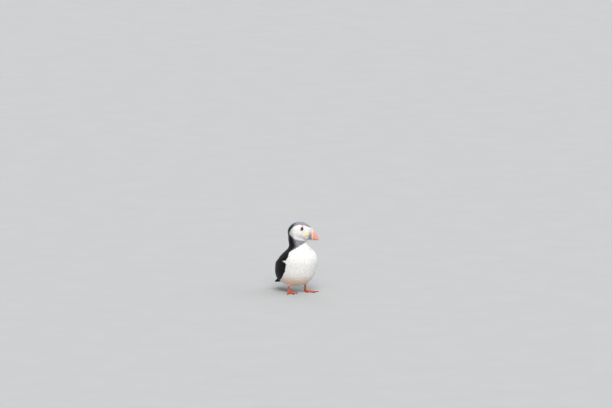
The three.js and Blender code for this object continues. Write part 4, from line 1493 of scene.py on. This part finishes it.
def leg_skin(side):
    """One closed surface for a leg and foot, its scute coordinates and its colour."""
    mesh = remeshed("leg", leg_parts(side), LEG_VOXEL, 3)
    verts, normals, _ = mesh_arrays(mesh)
    quads = read(mesh.loops, "vertex_index", 1, np.int32).reshape(-1, 4)
    verts[:, 2] = np.where(verts[:, 2] < 0.22, np.maximum(verts[:, 2] * 0.4, 0.0), verts[:, 2])
    x, y, z = verts[:, 0] * side - LEG_APART, SHIFT_Y - verts[:, 1] - LEG_BASE, verts[:, 2]
    along, mask = np.zeros(len(verts)), np.zeros(len(verts))
    for spread, length, _ in TOES.values():
        heading = FOOT_OUT + spread
        reach = x * math.sin(heading) + y * math.cos(heading)
        off = np.abs(x * math.cos(heading) - y * math.sin(heading))
        radius = 2.25 - 0.75 * np.clip(reach / length, 0, 1)
        here = (off < radius) & (reach > 1.5) & (reach < length + 2)
        along = np.where(here, reach, along)
        mask = np.where(here, smooth(off / radius, 1.0, 0.75) * smooth(z, 1.3, 2.0), mask)
    shin = z > 6.5
    along = np.where(shin, z * 0.85, along)
    mask = np.where(shin, smooth(normals[:, 1], 0.05, -0.35), mask)
    web = (z < 1.5) & (np.abs(normals[:, 2]) > 0.7)
    dark = 0.55 * smooth(wander(verts, 7.0, 21), 0.1, 0.9) + 0.35 * web
    return make_mesh("leg", verts, quads, None, mix(LEG_RED, LEG_DARK, dark[:, None]),
                     {"scute": np.stack([along, mask], -1)})


leg_scales = leg_material()
legs = [leg_skin(side) for _, side in SIDES]
for piece in legs:
    piece.data.materials.append(leg_scales)
finish_piece(join("skin", [skin] + legs), None, "white_plumage", *FLESH,
             "tarsus_left", "tarsus_right", "foot_left", "foot_right")


def claw_loft(side, spread, length, size):
    t = np.linspace(-0.12, 1, 26)
    path = foot_place(side, spread, length + 0.3 + size * t,
                      1.55 + 0.9 * np.sin(math.pi * np.clip(t, 0, 1)) - 1.1 * t)
    way = unit(np.gradient(path, axis=0))
    across = unit(np.cross(way, UP))
    r = np.clip(1 - t, 0, 1) ** 0.8
    rings = tube(path, across, np.cross(across, way), 1.12 * r + 0.05, 1.28 * r + 0.06, 18)
    rings[..., 2] = np.maximum(rings[..., 2], 0.03)
    tone = np.linspace(1.6, 1.0, len(rings))[:, None, None] * CLAW
    return loft("claw", rings, np.repeat(tone, rings.shape[1], 1))


claws = join("claws_horn", [claw_loft(side, *toe) for _, side in SIDES for toe in TOES.values()])
claw_horn = horn_material("claw_horn", rough=0.30, coat=0.2, grain=1500, bump=0.4)
finish_piece(claws, claw_horn, "claw",
             *["claw_%s_%s" % (toe, label) for toe in TOES for label, _ in SIDES])

# ---- floor, light and camera
PHOTO_WIDTH = 1.6524  # metres across the picture where the bird stands
VIEW_AZIMUTH, VIEW_RISE, VIEW_DISTANCE = -30, 8, 19.0
AIM_RIGHT, AIM_UP = 0.0243, 0.2376
FLOOR_SIZE, SENSOR = 300.0, 36.0


def set_stage():
    bm = bmesh.new()
    bmesh.ops.create_grid(bm, x_segments=40, y_segments=40, size=FLOOR_SIZE)
    mesh = bpy.data.meshes.new("floor")
    bm.to_mesh(mesh)
    bm.free()
    n = Nodes("floor_paint")
    grain = n.span(n.noise(9.0, 4.0), 0.3, 0.7)
    paint = n.mix(grain, (0.44, 0.44, 0.435, 1), (0.455, 0.455, 0.45, 1))
    mesh.materials.append(n.set(Base_Color=paint, Roughness=0.9, Specular_IOR_Level=0.2))
    add_object("floor", mesh)
    world = bpy.data.worlds.new("soft_room")
    world.use_nodes = True
    colour, strength = world.node_tree.nodes["Background"].inputs[:2]
    colour.default_value, strength.default_value = (0.86, 0.92, 1.0, 1), 0.60
    bpy.context.scene.world = world
    bpy.context.scene.view_settings.view_transform = "Standard"


def look_along(azimuth, rise):
    """Level right and the way a viewer looks who stands at an azimuth and elevation."""
    a, e = math.radians(azimuth), math.radians(rise)
    return Vector((math.cos(a), math.sin(a), 0)), Vector(
        (-math.sin(a) * math.cos(e), math.cos(a) * math.cos(e), -math.sin(e)))


def aim(name, data, place, look):
    thing = add_object(name, data)
    thing.location = place
    thing.rotation_euler = look.to_track_quat("-Z", "Y").to_euler()
    return thing


def add_sun(name, azimuth, rise, strength, spread, colour):
    data = bpy.data.lights.new(name, "SUN")
    data.energy, data.angle, data.color = strength, math.radians(spread), colour
    _, look = look_along(azimuth, rise)
    aim(name, data, look * -3, look)


def set_camera():
    right, look = look_along(VIEW_AZIMUTH, VIEW_RISE)
    target = Vector((0, SHIFT_Y * MM, 0)) + right * AIM_RIGHT + right.cross(look) * AIM_UP
    data = bpy.data.cameras.new("camera")
    data.sensor_width, data.lens = SENSOR, SENSOR * VIEW_DISTANCE / PHOTO_WIDTH
    data.clip_start, data.clip_end = 1.0, 200.0
    bpy.context.scene.camera = aim("camera", data, target - look * VIEW_DISTANCE, look)


set_stage()
for name, *sun in (  # azimuth, rise, strength, spread and colour
    ("key", -24, 43, 2.7, 30, (1.0, 0.975, 0.94)),
    ("low", -30, 5, 0.7, 50, (1.0, 0.86, 0.72)),
    ("fill", 70, 35, 0.5, 60, (0.92, 0.96, 1.0)),
    ("back", 150, 40, 0.7, 50, (0.96, 0.98, 1.0)),
):
    add_sun(name, *sun)
set_camera()
